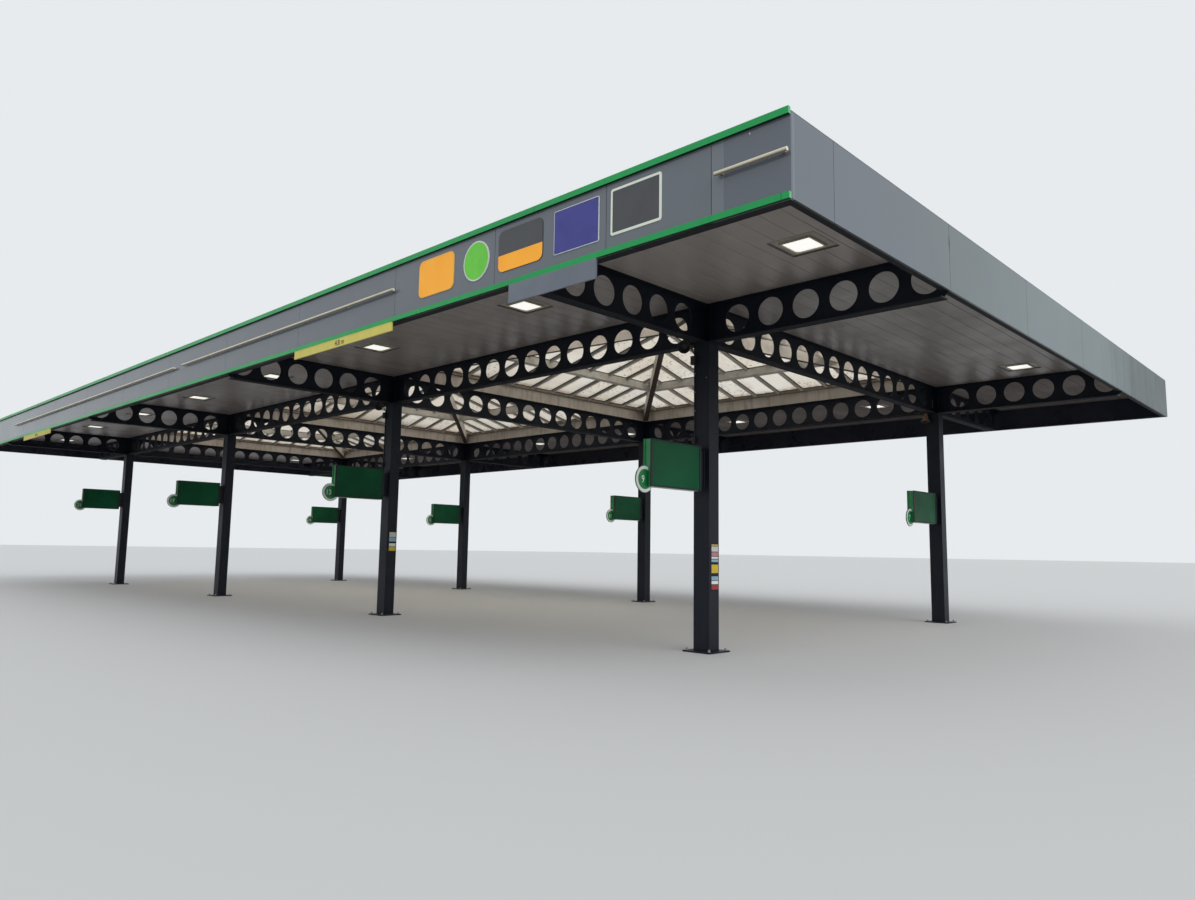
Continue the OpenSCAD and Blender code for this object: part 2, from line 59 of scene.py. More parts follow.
# %% [markdown]
# ## Places that the model gives
# A piece that is fixed to another one takes its place from that piece's box, so nothing is fitted
# by eye. The outer faces of the fascia, the middles of the columns and the undersides of the beams
# are the lines that a surveyor would take first.

# %% Main lines of the canopy
MM = 0.001
half_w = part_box("fascia_front")[1].x
front_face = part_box("fascia_front")[0].y
back_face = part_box("fascia_back")[1].y
fascia_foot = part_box("fascia_front")[0].z
fascia_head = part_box("fascia_front")[1].z
beam_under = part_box("row_beam_front")[0].z
steel_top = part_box("row_beam_front")[1].z
ceiling_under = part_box("ceiling_front")[0].z
FLANGE_HALF, COLUMN_W, COLUMN_D = 0.1, 0.30, 0.25
column_xs = [sum(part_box(f"column_front_{i}")[k].x for k in (0, 1)) / 2 for i in range(1, 5)]
rows = {r: sum(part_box(f"row_beam_{r}")[k].y for k in (0, 1)) / 2 for r in ("front", "back")}
bay = column_xs[1] - column_xs[0]
bay_mid_y = (rows["front"] + rows["back"]) / 2
print("columns at", [round(x, 3) for x in column_xs])
print("rows at", {row: round(y, 4) for row, y in rows.items()})

# %% [markdown]
# ## The camera
# The camera stands off the right front corner at eye height, 1.5 m up, and looks a little upwards.
# Its place, its three turns and the focal length were solved from points on the beams, the fascia
# and the columns. A pixel focal length turns into a lens by the sensor width.

# %% Camera
EYE = Vector((21.521, -15.532, 1.531))
LOOK_TURN, LOOK_UP, LOOK_ROLL = 0.7649, 0.1172, 0.0153
FOCAL_PX, PHOTO_W, SENSOR = 850.05, 1195, 36

forward = Vector((-math.sin(LOOK_TURN) * math.cos(LOOK_UP),
                  math.cos(LOOK_TURN) * math.cos(LOOK_UP), math.sin(LOOK_UP)))
level = Vector((math.cos(LOOK_TURN), math.sin(LOOK_TURN), 0))
upright = level.cross(forward)
right = level * math.cos(LOOK_ROLL) + upright * math.sin(LOOK_ROLL)
up = upright * math.cos(LOOK_ROLL) - level * math.sin(LOOK_ROLL)


def show(name, data):
    """A new object in the scene, with its data"""
    made = bpy.data.objects.new(name, data)
    bpy.context.scene.collection.objects.link(made)
    return made


camera = show("camera", bpy.data.cameras.new("camera"))
camera.data.sensor_width = SENSOR
camera.data.lens = FOCAL_PX / PHOTO_W * SENSOR
camera.data.clip_end = 1000
camera.matrix_world = Matrix.Translation(EYE) @ Matrix((right, up, -forward)).transposed().to_4x4()
bpy.context.scene.camera = camera
print("lens", round(camera.data.lens, 2), "mm")

# %% [markdown]
# ## Helpers for nodes
# A material is a small graph. A few helpers keep the graphs short. One adds a node and wires or
# sets its inputs by name. The others do one sum, take a vector apart, mix two colours by a mask,
# or stretch a value between two limits. Shaders take linear colours, so a colour as seen on a
# screen is turned into one.

# %% Node helpers
def add(tree, kind, settings=None, **inputs):
    """One node, with each input set to a value or wired to a socket; i0, i1 are inputs by number"""
    made = tree.nodes.new("ShaderNode" + kind)
    for key, value in (settings or {}).items():
        setattr(made, key, value)
    for key, value in inputs.items():
        socket = made.inputs[int(key[1:]) if key[1:].isdigit() else key]
        if isinstance(value, bpy.types.NodeSocket):
            tree.links.new(value, socket)
        else:
            socket.default_value = value
    return made


def calc(tree, operation, *values):
    """The result of one Math node"""
    inputs = {f"i{k}": value for k, value in enumerate(values)}
    return add(tree, "Math", {"operation": operation}, **inputs).outputs[0]


def split(tree, vector):
    """The X, Y and Z of a vector"""
    return add(tree, "SeparateXYZ", Vector=vector).outputs


def times(tree, a, b):
    return calc(tree, "MULTIPLY", a, b)


def colour(rgb):
    """A screen colour, from 0 to 255, as the linear colour that a shader takes"""
    channels = [c / 255 for c in rgb]
    linear = [c / 12.92 if c <= 0.04045 else ((c + 0.055) / 1.055) ** 2.4 for c in channels]
    return (*linear, 1.0)


def mix(tree, mask, a, b):
    """Colour a where the mask is 0, and b where it is 1"""
    return add(tree, "Mix", {"data_type": "RGBA"}, i0=mask, i6=a, i7=b).outputs[2]


def stretch(tree, value, low, high, to_low=0.0, to_high=1.0):
    """The value between two limits, as a mask"""
    limits = {"From Min": low, "From Max": high, "To Min": to_low, "To Max": to_high}
    return add(tree, "MapRange", {"clamp": True}, Value=value, **limits).outputs["Result"]


print("screen grey 128 is", round(colour((128, 128, 128))[0], 3), "in linear light")

# %% [markdown]
# ## Shared effects
# Weather leaves the same few marks on every piece of a canopy: blotches of dust, streaks that rain
# draws downwards, and small specks. Each mark is one node group with named inputs, built once and
# placed in each material with its own values. A group gives only masks, and the material decides
# what they colour.

# %% A maker for effect groups
def effect(name, inputs, build):
    """A shader node group with float inputs, and one mask as its output"""
    tree = bpy.data.node_groups.new(name, "ShaderNodeTree")
    for key, value in inputs.items():
        socket = tree.interface.new_socket(key, in_out="INPUT", socket_type="NodeSocketFloat")
        socket.default_value = value
    tree.interface.new_socket("Mask", in_out="OUTPUT", socket_type="NodeSocketFloat")
    source = tree.nodes.new("NodeGroupInput")
    sink = tree.nodes.new("NodeGroupOutput")
    place = add(tree, "TexCoord").outputs["Object"]
    tree.links.new(build(tree, source.outputs, place), sink.inputs["Mask"])
    print("effect:", name)
    return tree


def use(tree, group, **inputs):
    """The mask of an effect group, placed in a material with its own values"""
    made = tree.nodes.new("ShaderNodeGroup")
    made.node_tree = group
    for key, value in inputs.items():
        made.inputs[key].default_value = value
    return made.outputs["Mask"]

# %% [markdown]
# Blotches are plain noise. Streaks are noise that is drawn out downwards, by letting height count
# for less than width. Specks are small cells of a Voronoi pattern, kept only inside patches of
# noise, as moss and droppings come in patches. A fourth effect marks faces that look down, where a
# finish paints in the shade that falls under a thing: painted shade, and rusty brown on the hips.

# %% Blotches, streaks, specks and painted shade on faces that look down
PATCH_LOW, PATCH_HIGH, SPOT_CORE = 0.46, 0.52, 0.6


def build_blotches(tree, given, place):
    noise = add(tree, "TexNoise", Vector=place, Scale=given["Scale"], Detail=5.0, Roughness=0.6)
    return stretch(tree, noise.outputs["Fac"], given["Low"], given["High"])


def build_streaks(tree, given, place):
    apart = split(tree, place)
    down = times(tree, apart["Z"], given["Drop"])
    flat = add(tree, "CombineXYZ", X=apart["X"], Y=apart["Y"], Z=down)
    noise = add(tree, "TexNoise", Vector=flat.outputs[0], Scale=given["Scale"], Detail=4.0,
                Roughness=0.55)
    return stretch(tree, noise.outputs["Fac"], given["Low"], given["High"])


def build_specks(tree, given, place):
    cells = add(tree, "TexVoronoi", Vector=place, Scale=given["Scale"], Randomness=1.0)
    core = times(tree, given["Size"], SPOT_CORE)
    patch = add(tree, "TexNoise", Vector=place, Scale=given["Patch"], Detail=2.0).outputs["Fac"]
    return times(tree, stretch(tree, cells.outputs["Distance"], given["Size"], core),
                 stretch(tree, patch, PATCH_LOW, PATCH_HIGH))


# Painted shade: a mask for faces that look down, which a finish paints darker
def build_below(tree, given, place):
    normal = add(tree, "NewGeometry").outputs["Normal"]
    return stretch(tree, split(tree, normal)["Z"], given["Low"], given["High"])


BLOTCHES = effect("blotches", {"Scale": 1.0, "Low": 0.4, "High": 0.7}, build_blotches)
STREAKS = effect("rain streaks", {"Scale": 6.0, "Drop": 0.05, "Low": 0.45, "High": 0.75},
                 build_streaks)
SPECKS = effect("specks", {"Scale": 20.0, "Size": 0.2, "Patch": 1.0}, build_specks)
UNDERSIDE_SHADE = effect("painted shade on faces below", {"Low": -0.3, "High": -0.8}, build_below)

# %% [markdown]
# Four more effects follow the building's own grid. Dirt on a rooflight lies by how far a place is
# from the middle of its bay, and a dark line of painted shade runs along each edge of a glazing
# bar.
# A ceiling plank is a little crowned across its width. The panels of a fascia and the planks of a
# ceiling come from different batches, so each has its own tone.

# %% Reach, distance from a bar, crown of a plank, and tone by panel
BAR_PITCH, PANEL_PITCH, PLANK_PITCH = 0.72, 3.06, 0.300


def bay_offsets(tree, place):
    """How far a place is from the middle of its bay, along X and along Y"""
    apart = split(tree, place)
    wide = calc(tree, "ABSOLUTE", calc(tree, "WRAP", apart["X"], bay / 2, -bay / 2))
    deep = calc(tree, "ABSOLUTE", calc(tree, "SUBTRACT", apart["Y"], bay_mid_y))
    return wide, deep


def build_reach(tree, given, place):
    far = calc(tree, "MAXIMUM", *bay_offsets(tree, place))
    return stretch(tree, far, given["Low"], given["High"])


def build_across(tree, given, place):
    near = calc(tree, "MINIMUM", *bay_offsets(tree, place))
    part = calc(tree, "FRACT", calc(tree, "DIVIDE", near, BAR_PITCH))
    off = calc(tree, "ABSOLUTE", calc(tree, "SUBTRACT", part, 0.5))
    return stretch(tree, times(tree, off, BAR_PITCH), given["Low"], given["High"])


def build_crown(tree, given, place):
    steps = calc(tree, "DIVIDE", split(tree, place)["X"], given["Pitch"])
    off = calc(tree, "MULTIPLY_ADD", calc(tree, "FRACT", steps), 2.0, -1.0)
    return calc(tree, "SUBTRACT", 1.0, times(tree, off, off))


def build_tone(tree, given, place):
    apart = split(tree, place)
    run = calc(tree, "ADD", times(tree, apart["X"], given["Along X"]),
               times(tree, apart["Y"], given["Along Y"]))
    steps = calc(tree, "DIVIDE", calc(tree, "SUBTRACT", run, given["Start"]), given["Pitch"])
    index = calc(tree, "MINIMUM", calc(tree, "FLOOR", steps), given["Last"])
    return add(tree, "TexWhiteNoise", {"noise_dimensions": "1D"}, W=index).outputs["Value"]


REACH = effect("reach from the bay's middle", {"Low": 0.0, "High": 4.5}, build_reach)
ACROSS = effect("distance from a bar's middle line", {"Low": 0.0, "High": 0.36}, build_across)
CROWN = effect("crown of a plank", {"Pitch": PLANK_PITCH}, build_crown)
TONE = effect("tone by panel", {"Along X": 1.0, "Along Y": 0.0, "Start": 0.0, "Pitch": PANEL_PITCH,
                                "Last": 99.0}, build_tone)

# %% [markdown]
# ## Finishes
# Most pieces are painted metal. Paint differs in colour, gloss, how evenly it has weathered and
# how wavy the sheet under it is, so one function with those values covers it, and each finish is a
# call. Blotches are given by scale and two limits, and streaks by scale, drop, two limits,
# strength and colour. A wave has a height and a scale, and a crown a height and a pitch.

# %% Painted metal
WORN_ROUGHER, BELOW_ROUGH, GRAIN_MM = 0.15, 0.85, 0.05


def new_material(name):
    """A material with nodes, its tree and its shader"""
    material = bpy.data.materials.new(name)
    material.use_nodes = True
    return material, material.node_tree, material.node_tree.nodes["Principled BSDF"]


def painted(name, base, worn, gloss=0.45, blotch=(1.2, 0.42, 0.72), streak=None, wave=None,
            grain=90.0, mirror=0.5, below=None, crown=None):
    """Paint on sheet or steel: worn blotches, streaks, painted shade underneath, waves and grain"""
    material, tree, shader = new_material(name)
    shader.inputs["Specular IOR Level"].default_value = mirror
    mask = use(tree, BLOTCHES, Scale=blotch[0], Low=blotch[1], High=blotch[2])
    paint = mix(tree, mask, colour(base), colour(worn))
    rough = stretch(tree, mask, 0.0, 1.0, gloss, min(1.0, gloss + WORN_ROUGHER))
    if streak:
        scale, drop, low, high, strength, rgb = streak
        runs = use(tree, STREAKS, Scale=scale, Drop=drop, Low=low, High=high)
        paint = mix(tree, times(tree, runs, strength), paint, colour(rgb))
    # A colour below is painted shade on the faces that look down, and on the hips rust as well
    if below:
        under = use(tree, UNDERSIDE_SHADE)
        paint = mix(tree, under, paint, colour(below))
        rough = calc(tree, "MAXIMUM", rough, times(tree, under, BELOW_ROUGH))
    place = add(tree, "TexCoord").outputs["Object"]
    fine = add(tree, "TexNoise", Vector=place, Scale=grain, Detail=2.0)
    height = times(tree, fine.outputs["Fac"], GRAIN_MM)
    if wave:
        wide = add(tree, "TexNoise", Vector=place, Scale=wave[1], Detail=1.0)
        height = calc(tree, "MULTIPLY_ADD", wide.outputs["Fac"], wave[0] / MM, height)
    if crown:
        height = calc(tree, "MULTIPLY_ADD", use(tree, CROWN, Pitch=crown[1]), crown[0] / MM, height)
    bump = add(tree, "Bump", Height=height, Strength=1.0, Distance=MM)
    tree.links.new(paint, shader.inputs["Base Color"])
    tree.links.new(rough, shader.inputs["Roughness"])
    tree.links.new(bump.outputs["Normal"], shader.inputs["Normal"])
    return material


def plain(name, base, worn, gloss=0.4, scale=4.0, **more):
    """The paint of a small piece, with blotches of one common contrast"""
    return painted(name, base, worn, gloss=gloss, blotch=(scale, 0.4, 0.7), **more)


print("paint helpers, grain", GRAIN_MM, "mm high")

# %% [markdown]
# Some marks belong to one place only, such as a dark foot or a pale edge. They go over a finish
# that is already made: the helper takes what feeds the colour now, and mixes one more colour over
# it by a mask. A mask here is a function of the material's tree, so masks and plain numbers can be
# multiplied before there is a tree to put them in.

# %% Masks by place, and one more colour over a finish
def product(*parts):
    """A mask that is the product of masks and plain numbers"""
    def build(tree):
        result, *others = [part(tree) if callable(part) else part for part in parts]
        for other in others:
            result = times(tree, result, other)
        return result
    return build


def either(one, other):
    return lambda tree: calc(tree, "MAXIMUM", one(tree), other(tree))


def by(group, **inputs):
    return lambda tree: use(tree, group, **inputs)


def ramp(axis, low, high, node="TexCoord", output="Object"):
    """A mask from 0 to 1 between two values on an axis, of the place or of another vector"""
    return lambda tree: stretch(tree, split(tree, add(tree, node).outputs[output])[axis], low, high)


def band(axis, low, high, soft=0.001):
    """A mask that is 1 between two places on an axis, with soft ends"""
    return product(ramp(axis, low - soft, low + soft), ramp(axis, high + soft, high - soft))


def over(material, rgb, *parts):
    """Lays a colour over a finish, where the product of the masks says"""
    tree = material.node_tree
    base = tree.nodes["Principled BSDF"].inputs["Base Color"]
    mask = product(*parts)(tree)
    tree.links.new(mix(tree, mask, base.links[0].from_socket, colour(rgb)), base)


print("masks: product, either, by, ramp, band")

# %% [markdown]
# The steel is nearly black with a blue cast. The strips are a bright green plastic, and their last
# length at the right corner has a dark joint. Their faces that look to +X, towards the light, are
# paler: painted light. Faces that look down take painted shade. The yellow boards have faded less
# at the left.

# %% Paints of the steel, the front and its boards
STRIP_JOINT, STRIP_JOINT_TOP = 0.091, 0.2
# Each colour given as below is painted shade on the faces that look down
STEEL = painted("steel paint", (22, 27, 38), (32, 36, 45), gloss=0.42, blotch=(0.9, 0.45, 0.75),
                streak=(5.0, 0.2, 0.52, 0.8, 0.3, (48, 50, 53)), mirror=0.2, below=(13, 15, 22))
LINING = painted("lining paint", (44, 48, 62), (54, 56, 66), gloss=0.24, blotch=(0.8, 0.4, 0.7),
                 streak=(4.0, 0.1, 0.55, 0.85, 0.3, (66, 65, 68)), mirror=0.3, below=(14, 15, 22))
STRIP = painted("green strip", (30, 182, 94), (38, 168, 94), gloss=0.26, blotch=(0.7, 0.4, 0.75),
                streak=(9.0, 0.1, 0.5, 0.85, 0.25, (26, 122, 64)), mirror=0.3, below=(9, 50, 29))
# Painted light: faces that look to +X, where the light comes from, are paler
over(STRIP, (104, 190, 134), ramp("X", 0.7, 0.9, "NewGeometry", "Normal"))
over(STRIP, (16, 70, 40),
     band("X", half_w - STRIP_JOINT - 0.003, half_w - STRIP_JOINT + 0.003),
     ramp("Z", fascia_foot + STRIP_JOINT_TOP, fascia_foot + STRIP_JOINT_TOP / 2))
TUBE = painted("cream tube", (240, 232, 208), (222, 212, 186), gloss=0.35, blotch=(3.0, 0.45, 0.7),
               below=(156, 146, 124))
YELLOW = painted("yellow board", (242, 230, 104), (226, 210, 100), gloss=0.4,
                 blotch=(1.5, 0.4, 0.75))
over(YELLOW, (206, 190, 62), ramp("X", 0.0, -2.0), 0.7)
GREY_BOARD = painted("grey board", (122, 131, 143), (115, 124, 136), gloss=0.42,
                     blotch=(1.5, 0.4, 0.75))
print(len(bpy.data.materials), "materials so far")

# %% [markdown]
# Ceiling planks are warm grey sheet with a soft shine, crowned across, and each has its own tone.
# At the right overhang a paler patch near the front is painted light, and a browner patch behind it
# is painted shade. The planks of the back overhang have lost their shine, and their darker colour
# is painted shade, so they are one more paint from the same function.

# %% Paints of the ceiling and the roof
CROWN_HIGH, WAVE_HIGH, WAVE_SCALE = 0.004, 0.002, 1.6


def plank_paint(name, base, worn, streaked, toned, gloss, mirror=0.5):
    made = painted(name, base, worn, gloss=gloss, blotch=(0.9, 0.4, 0.68), grain=160.0,
                   streak=(1.6, 1.0, 0.5, 0.75, 0.3, streaked), wave=(WAVE_HIGH, WAVE_SCALE),
                   mirror=mirror, crown=(CROWN_HIGH, PLANK_PITCH))
    over(made, toned, by(TONE, Pitch=PLANK_PITCH), 0.5)
    return made


PLANK = plank_paint("plank paint", (156, 148, 146), (143, 135, 132), (126, 117, 110),
                    (128, 120, 116), 0.34)
# Painted light: paler near the front of the right overhang
over(PLANK, (190, 180, 172), ramp("X", 12.4, 13.8), ramp("Y", -4.4, -5.8), 0.6)
# Painted shade: browner behind it
over(PLANK, (118, 110, 103), ramp("X", 13.0, 14.5), ramp("Y", -5.5, -3.0), 0.5)
# The back planks are duller, and their darker colour is painted shade
DULL_SHADED_PLANK = plank_paint("dull plank paint in painted shade", (134, 126, 123), (122, 114, 111), (104, 96, 90),
                         (108, 101, 97), 0.65, 0.1)
ROOF = painted("roof sheet", (158, 162, 164), (140, 143, 143), gloss=0.4, blotch=(0.5, 0.4, 0.7),
               streak=(2.0, 1.0, 0.5, 0.8, 0.4, (120, 120, 114)))
print(len(bpy.data.materials), "materials so far")

# %% [markdown]
# The kerbs, bars and hips of the rooflights are off-white paint that water has streaked brown, and
# the bars are stained brown at the glazing's foot. The top of a kerb, under the glazing's foot, is
# brown with painted shade. A bar shows a dark line of painted shade along each edge, outside the
# ring and between ring and rail, and the feet of the hips are rusty.

# %% Paints of the rooflights
DIRT_AND_SHADE_BROWN, BAR_EDGE_SHADE, HIP_RUST = (92, 76, 62), (58, 52, 48), (84, 58, 42)
RING_IN, RING_OUT, RAIL_IN = 2.85, 2.95, 4.30
KERB = painted("kerb paint", (202, 195, 186), (182, 173, 163), gloss=0.55, blotch=(1.1, 0.4, 0.7),
               streak=(7.0, 0.2, 0.5, 0.72, 0.55, (128, 115, 101)))
BAR = painted("bar paint", (222, 219, 212), (200, 195, 186), gloss=0.5, blotch=(1.5, 0.4, 0.7),
              streak=(6.0, 1.0, 0.55, 0.8, 0.4, (112, 102, 90)))
# The hip's colour below is rust and painted shade on its faces that look down
HIP = painted("hip paint", (226, 221, 213), (202, 195, 186), gloss=0.5, blotch=(1.2, 0.4, 0.7),
              streak=(5.0, 0.5, 0.5, 0.8, 0.5, (104, 88, 74)), below=(66, 52, 44))
# Painted shade: the top of the kerb is brown under the glazing's foot
over(KERB, DIRT_AND_SHADE_BROWN, ramp("Z", steel_top + 0.27, steel_top + 0.345), 0.85)
# Brown dirt on the bars at the glazing's foot
over(BAR, DIRT_AND_SHADE_BROWN, by(REACH, Low=4.31, High=4.345), 0.85)
# Painted shade: a dark line along each edge of a bar
over(BAR, BAR_EDGE_SHADE, by(ACROSS, Low=0.019, High=0.023), by(ACROSS, Low=0.040, High=0.036), 0.62,
     either(by(REACH, Low=RING_IN, High=RING_IN - 0.005),
            product(by(REACH, Low=RING_OUT, High=RING_OUT + 0.005),
                    by(REACH, Low=RAIL_IN, High=RAIL_IN - 0.005))))
over(HIP, HIP_RUST, by(REACH, Low=4.0, High=4.35), by(BLOTCHES, Scale=5.0, Low=0.35, High=0.6))
print(len(bpy.data.materials), "materials so far")

# %% [markdown]
# The fascia panels share one paint, but no two batches of it agree. Each fascia has its own grid
# of joints, so the paint is made once for the long sides and once for the ends, each with its own
# steps of tone. Faces that look down take painted shade. The panel at the right corner is darker
# behind a pale strip and has one small chip, and the long sides grow paler towards the far left,
# which is a painted reflection of the sky. Rain has left the far panels of the ends darker and
# streaked, and one joint there has opened near its top.

# %% Fascia paints
END_CORNER, FIRST_STANDARD, CORNER_PANEL, PALE_STRIP = 0.85, 6.88, 0.80, 0.95
CHIP_X, CHIP_HALF, GAP_HALF, GAP_DARK = 0.470, 0.006, 0.016, (24, 28, 31)


def fascia_paint(name, gloss, **grid):
    made = painted(name, (112, 120, 129), (120, 128, 136), gloss=gloss, blotch=(0.3, 0.4, 0.7),
                   streak=(1.7, 0.04, 0.56, 0.85, 0.3, (136, 147, 151)), grain=240.0)
    over(made, (122, 130, 137), by(TONE, **grid), 0.5)
    # Painted shade on the faces that look down
    over(made, (12, 13, 17), by(UNDERSIDE_SHADE))
    return made


PANEL_LONG = fascia_paint("fascia paint long", 0.15, **{
    "Start": half_w - FIRST_STANDARD, "Pitch": PANEL_PITCH, "Last": 0.0})
over(PANEL_LONG, (109, 116, 126),
     ramp("X", half_w - CORNER_PANEL - 0.002, half_w - CORNER_PANEL + 0.002))
over(PANEL_LONG, (124, 132, 140), band("X", half_w - PALE_STRIP, half_w - CORNER_PANEL, 0.002))
over(PANEL_LONG, (224, 228, 228),
     band("X", half_w - CHIP_X - CHIP_HALF, half_w - CHIP_X + CHIP_HALF),
     band("Z", fascia_head - 0.09, fascia_head - 0.065))
# Painted reflection: the long sides grow paler towards the far left
over(PANEL_LONG, (138, 149, 152), ramp("X", -7.0, -15.0), 0.6)

PANEL_END = fascia_paint("fascia paint end", 0.45, **{
    "Along X": 0.0, "Along Y": 1.0, "Start": front_face + END_CORNER, "Pitch": PANEL_PITCH})
over(PANEL_END, (126, 135, 143), ramp("Y", front_face + 0.066, front_face + 0.058))
over(PANEL_END, (112, 123, 123), ramp("Y", -6.9, -4.7),
     by(BLOTCHES, Scale=1.1, Low=0.3, High=0.6), 0.85)
over(PANEL_END, (134, 147, 149), ramp("Y", -6.0, 4.0), 0.8)
over(PANEL_END, (82, 92, 93), ramp("Y", 2.6, 6.0), 0.85)
over(PANEL_END, (78, 86, 86), ramp("Y", 2.6, 6.5),
     by(STREAKS, Scale=4.5, Drop=0.06, Low=0.47, High=0.68))

gap_y = front_face + END_CORNER + PANEL_PITCH
OPEN_GAP = product(band("Y", gap_y - GAP_HALF, gap_y + GAP_HALF, 0.008),
                   band("Z", 5.51, 5.64, 0.07), ramp("X", 0.0, 1.0))
over(PANEL_END, GAP_DARK, OPEN_GAP)
print("fascia paints for", PANEL_PITCH, "m panels")

# %% [markdown]
# The rooflights are glazed with a cream sheet that lets daylight through and hides what is above.
# It could be an emitting surface, but then it would shine at night as well. Here it is a rough
# translucent pane: part of the light goes through, and the dirt on it is what the sky lights from
# behind.

# %% Glazing
PANE, tree, shader = new_material("cream glazing")
haze = use(tree, BLOTCHES, Scale=0.5, Low=0.4, High=0.65)
tree.links.new(mix(tree, haze, colour((251, 243, 231)), colour((244, 232, 213))),
               shader.inputs["Base Color"])
shader.inputs["Roughness"].default_value = 0.35
shader.inputs["Transmission Weight"].default_value = 1.0
shader.inputs["IOR"].default_value = 1.08
over(PANE, (230, 217, 204), by(STREAKS, Scale=1.3, Drop=1.0, Low=0.5, High=0.8))
over(PANE, (96, 70, 50), by(SPECKS, Scale=11.0, Size=0.29, Patch=0.7), 0.9)
over(PANE, (150, 118, 84), by(REACH, Low=4.16, High=4.36),
     by(BLOTCHES, Scale=6.0, Low=0.38, High=0.55))
print("glazing made")

# %% [markdown]
# Lamps behind a milky cover, sign faces, seals and rust need one material each. The lamp keeps its
# own emission weak, because the lights are off or dim by day.

# %% Lamp, signs, seals, fixings and rust
def lit(material, linear, strength):
    """Light from behind, the same all over a face"""
    shader = material.node_tree.nodes["Principled BSDF"]
    shader.inputs["Emission Color"].default_value = linear
    shader.inputs["Emission Strength"].default_value = strength
    return material


COVER = lit(plain("lamp cover", (246, 246, 242), (238, 237, 230), 0.25, grain=60.0),
            (1.0, 0.98, 0.94, 1.0), 0.8)
LAMP_RIM = plain("lamp rim", (196, 190, 166), (178, 172, 150), scale=5.0)
# Painted light: the tray is paler than the ceiling, for the lamp's light on it
LAMP_LIT_TRAY = plain("lamp tray with painted lamp light", (182, 174, 164), (164, 156, 148), scale=3.0)
SIGN_FACE = painted("sign face", (8, 84, 48), (6, 66, 38), gloss=0.4, blotch=(0.9, 0.35, 0.7),
                    mirror=0.15)
over(SIGN_FACE, (10, 104, 66), by(BLOTCHES, Scale=0.7, Low=0.4, High=0.65), 0.6)
SIGN_FRAME = plain("sign frame", (34, 40, 44), (46, 51, 54), 0.45, 3.0, mirror=0.3)
SIGN_END = plain("sign end", (58, 160, 94), (48, 140, 84), 0.35, 3.0)
DISC = plain("disc green", (4, 128, 62), (4, 114, 56), 0.3)
WHITE = plain("sign white", (246, 250, 245), (230, 235, 229), scale=5.0)
# Black rubber, and in the lamp frames painted shade
BLACK = plain("black rubber and painted shade", (30, 30, 32), (40, 40, 42), 0.6, 5.0)
RUST = painted("rusty horn", (158, 122, 96), (104, 74, 56), gloss=0.7, blotch=(14.0, 0.4, 0.65),
               grain=300.0)
GALV = plain("galvanised fixing", (150, 152, 152), (128, 128, 126), 0.45, 12.0)
CAP = plain("glazing cap", (156, 158, 156), (136, 137, 134), scale=2.0)
SEAL = plain("joint seal", (40, 44, 50), (50, 54, 60), 0.6)
over(SEAL, GAP_DARK, OPEN_GAP)
# Painted highlight on a panel's edge in a joint
JOINT_HIGHLIGHT = plain("painted highlight on a joint edge", (148, 155, 161), (134, 141, 147), 0.5)
CONDUIT = plain("pale conduit", (156, 154, 146), (138, 136, 128), 0.5)
print(len(bpy.data.materials), "materials")

# %% [markdown]
# Every piece of the model has a slot name for its paint. Bars, hips and the two fascia ends share
# a slot with other pieces but have a paint of their own, so they are named one by one.

# %% Paint the pieces of the model
SLOT_PAINT = {
    "steel_dark": STEEL, "fascia_panel": PANEL_LONG, "fascia_dark": LINING, "strip_green": STRIP,
    "tube_cream": TUBE, "board_yellow": YELLOW, "board_grey": GREY_BOARD, "ceiling_plank": PLANK,
    "lamp": COVER, "roof_sheet": ROOF, "curb_paint": KERB, "glazing": PANE, "sign_green": SIGN_FACE,
    "horn": RUST,
}
paint_of = {part["node"]: SLOT_PAINT[part["material_slot"]] for part in frame["record"]["subparts"]}
for i in (1, 2, 3):
    paint_of[f"rooflight_bars_{i}"] = BAR
    paint_of[f"rooflight_hips_{i}"] = HIP
paint_of["fascia_left"] = paint_of["fascia_right"] = PANEL_END
for name, thing in nodes.items():
    if not len(thing.material_slots):
        thing.data.materials.append(paint_of[name])
    for place in thing.material_slots:
        place.material = paint_of[name]
print("painted", len(nodes), "nodes from the model")

# %% [markdown]
# ## Meshes for the added pieces
# Folded sheets, plates and rails are all prisms. One small class gathers such shapes into one
# mesh, so a row of two hundred bolts is one object. Each shape takes a material by its number in
# the piece's list.

# %% A gatherer of shapes
BOX_FACES = [(3, 2, 1, 0), (4, 5, 6, 7), (0, 1, 5, 4), (1, 2, 6, 5), (2, 3, 7, 6), (3, 0, 4, 7)]
AXIS_ORDER = {"x": (2, 0, 1), "y": (1, 2, 0), "z": (0, 1, 2)}


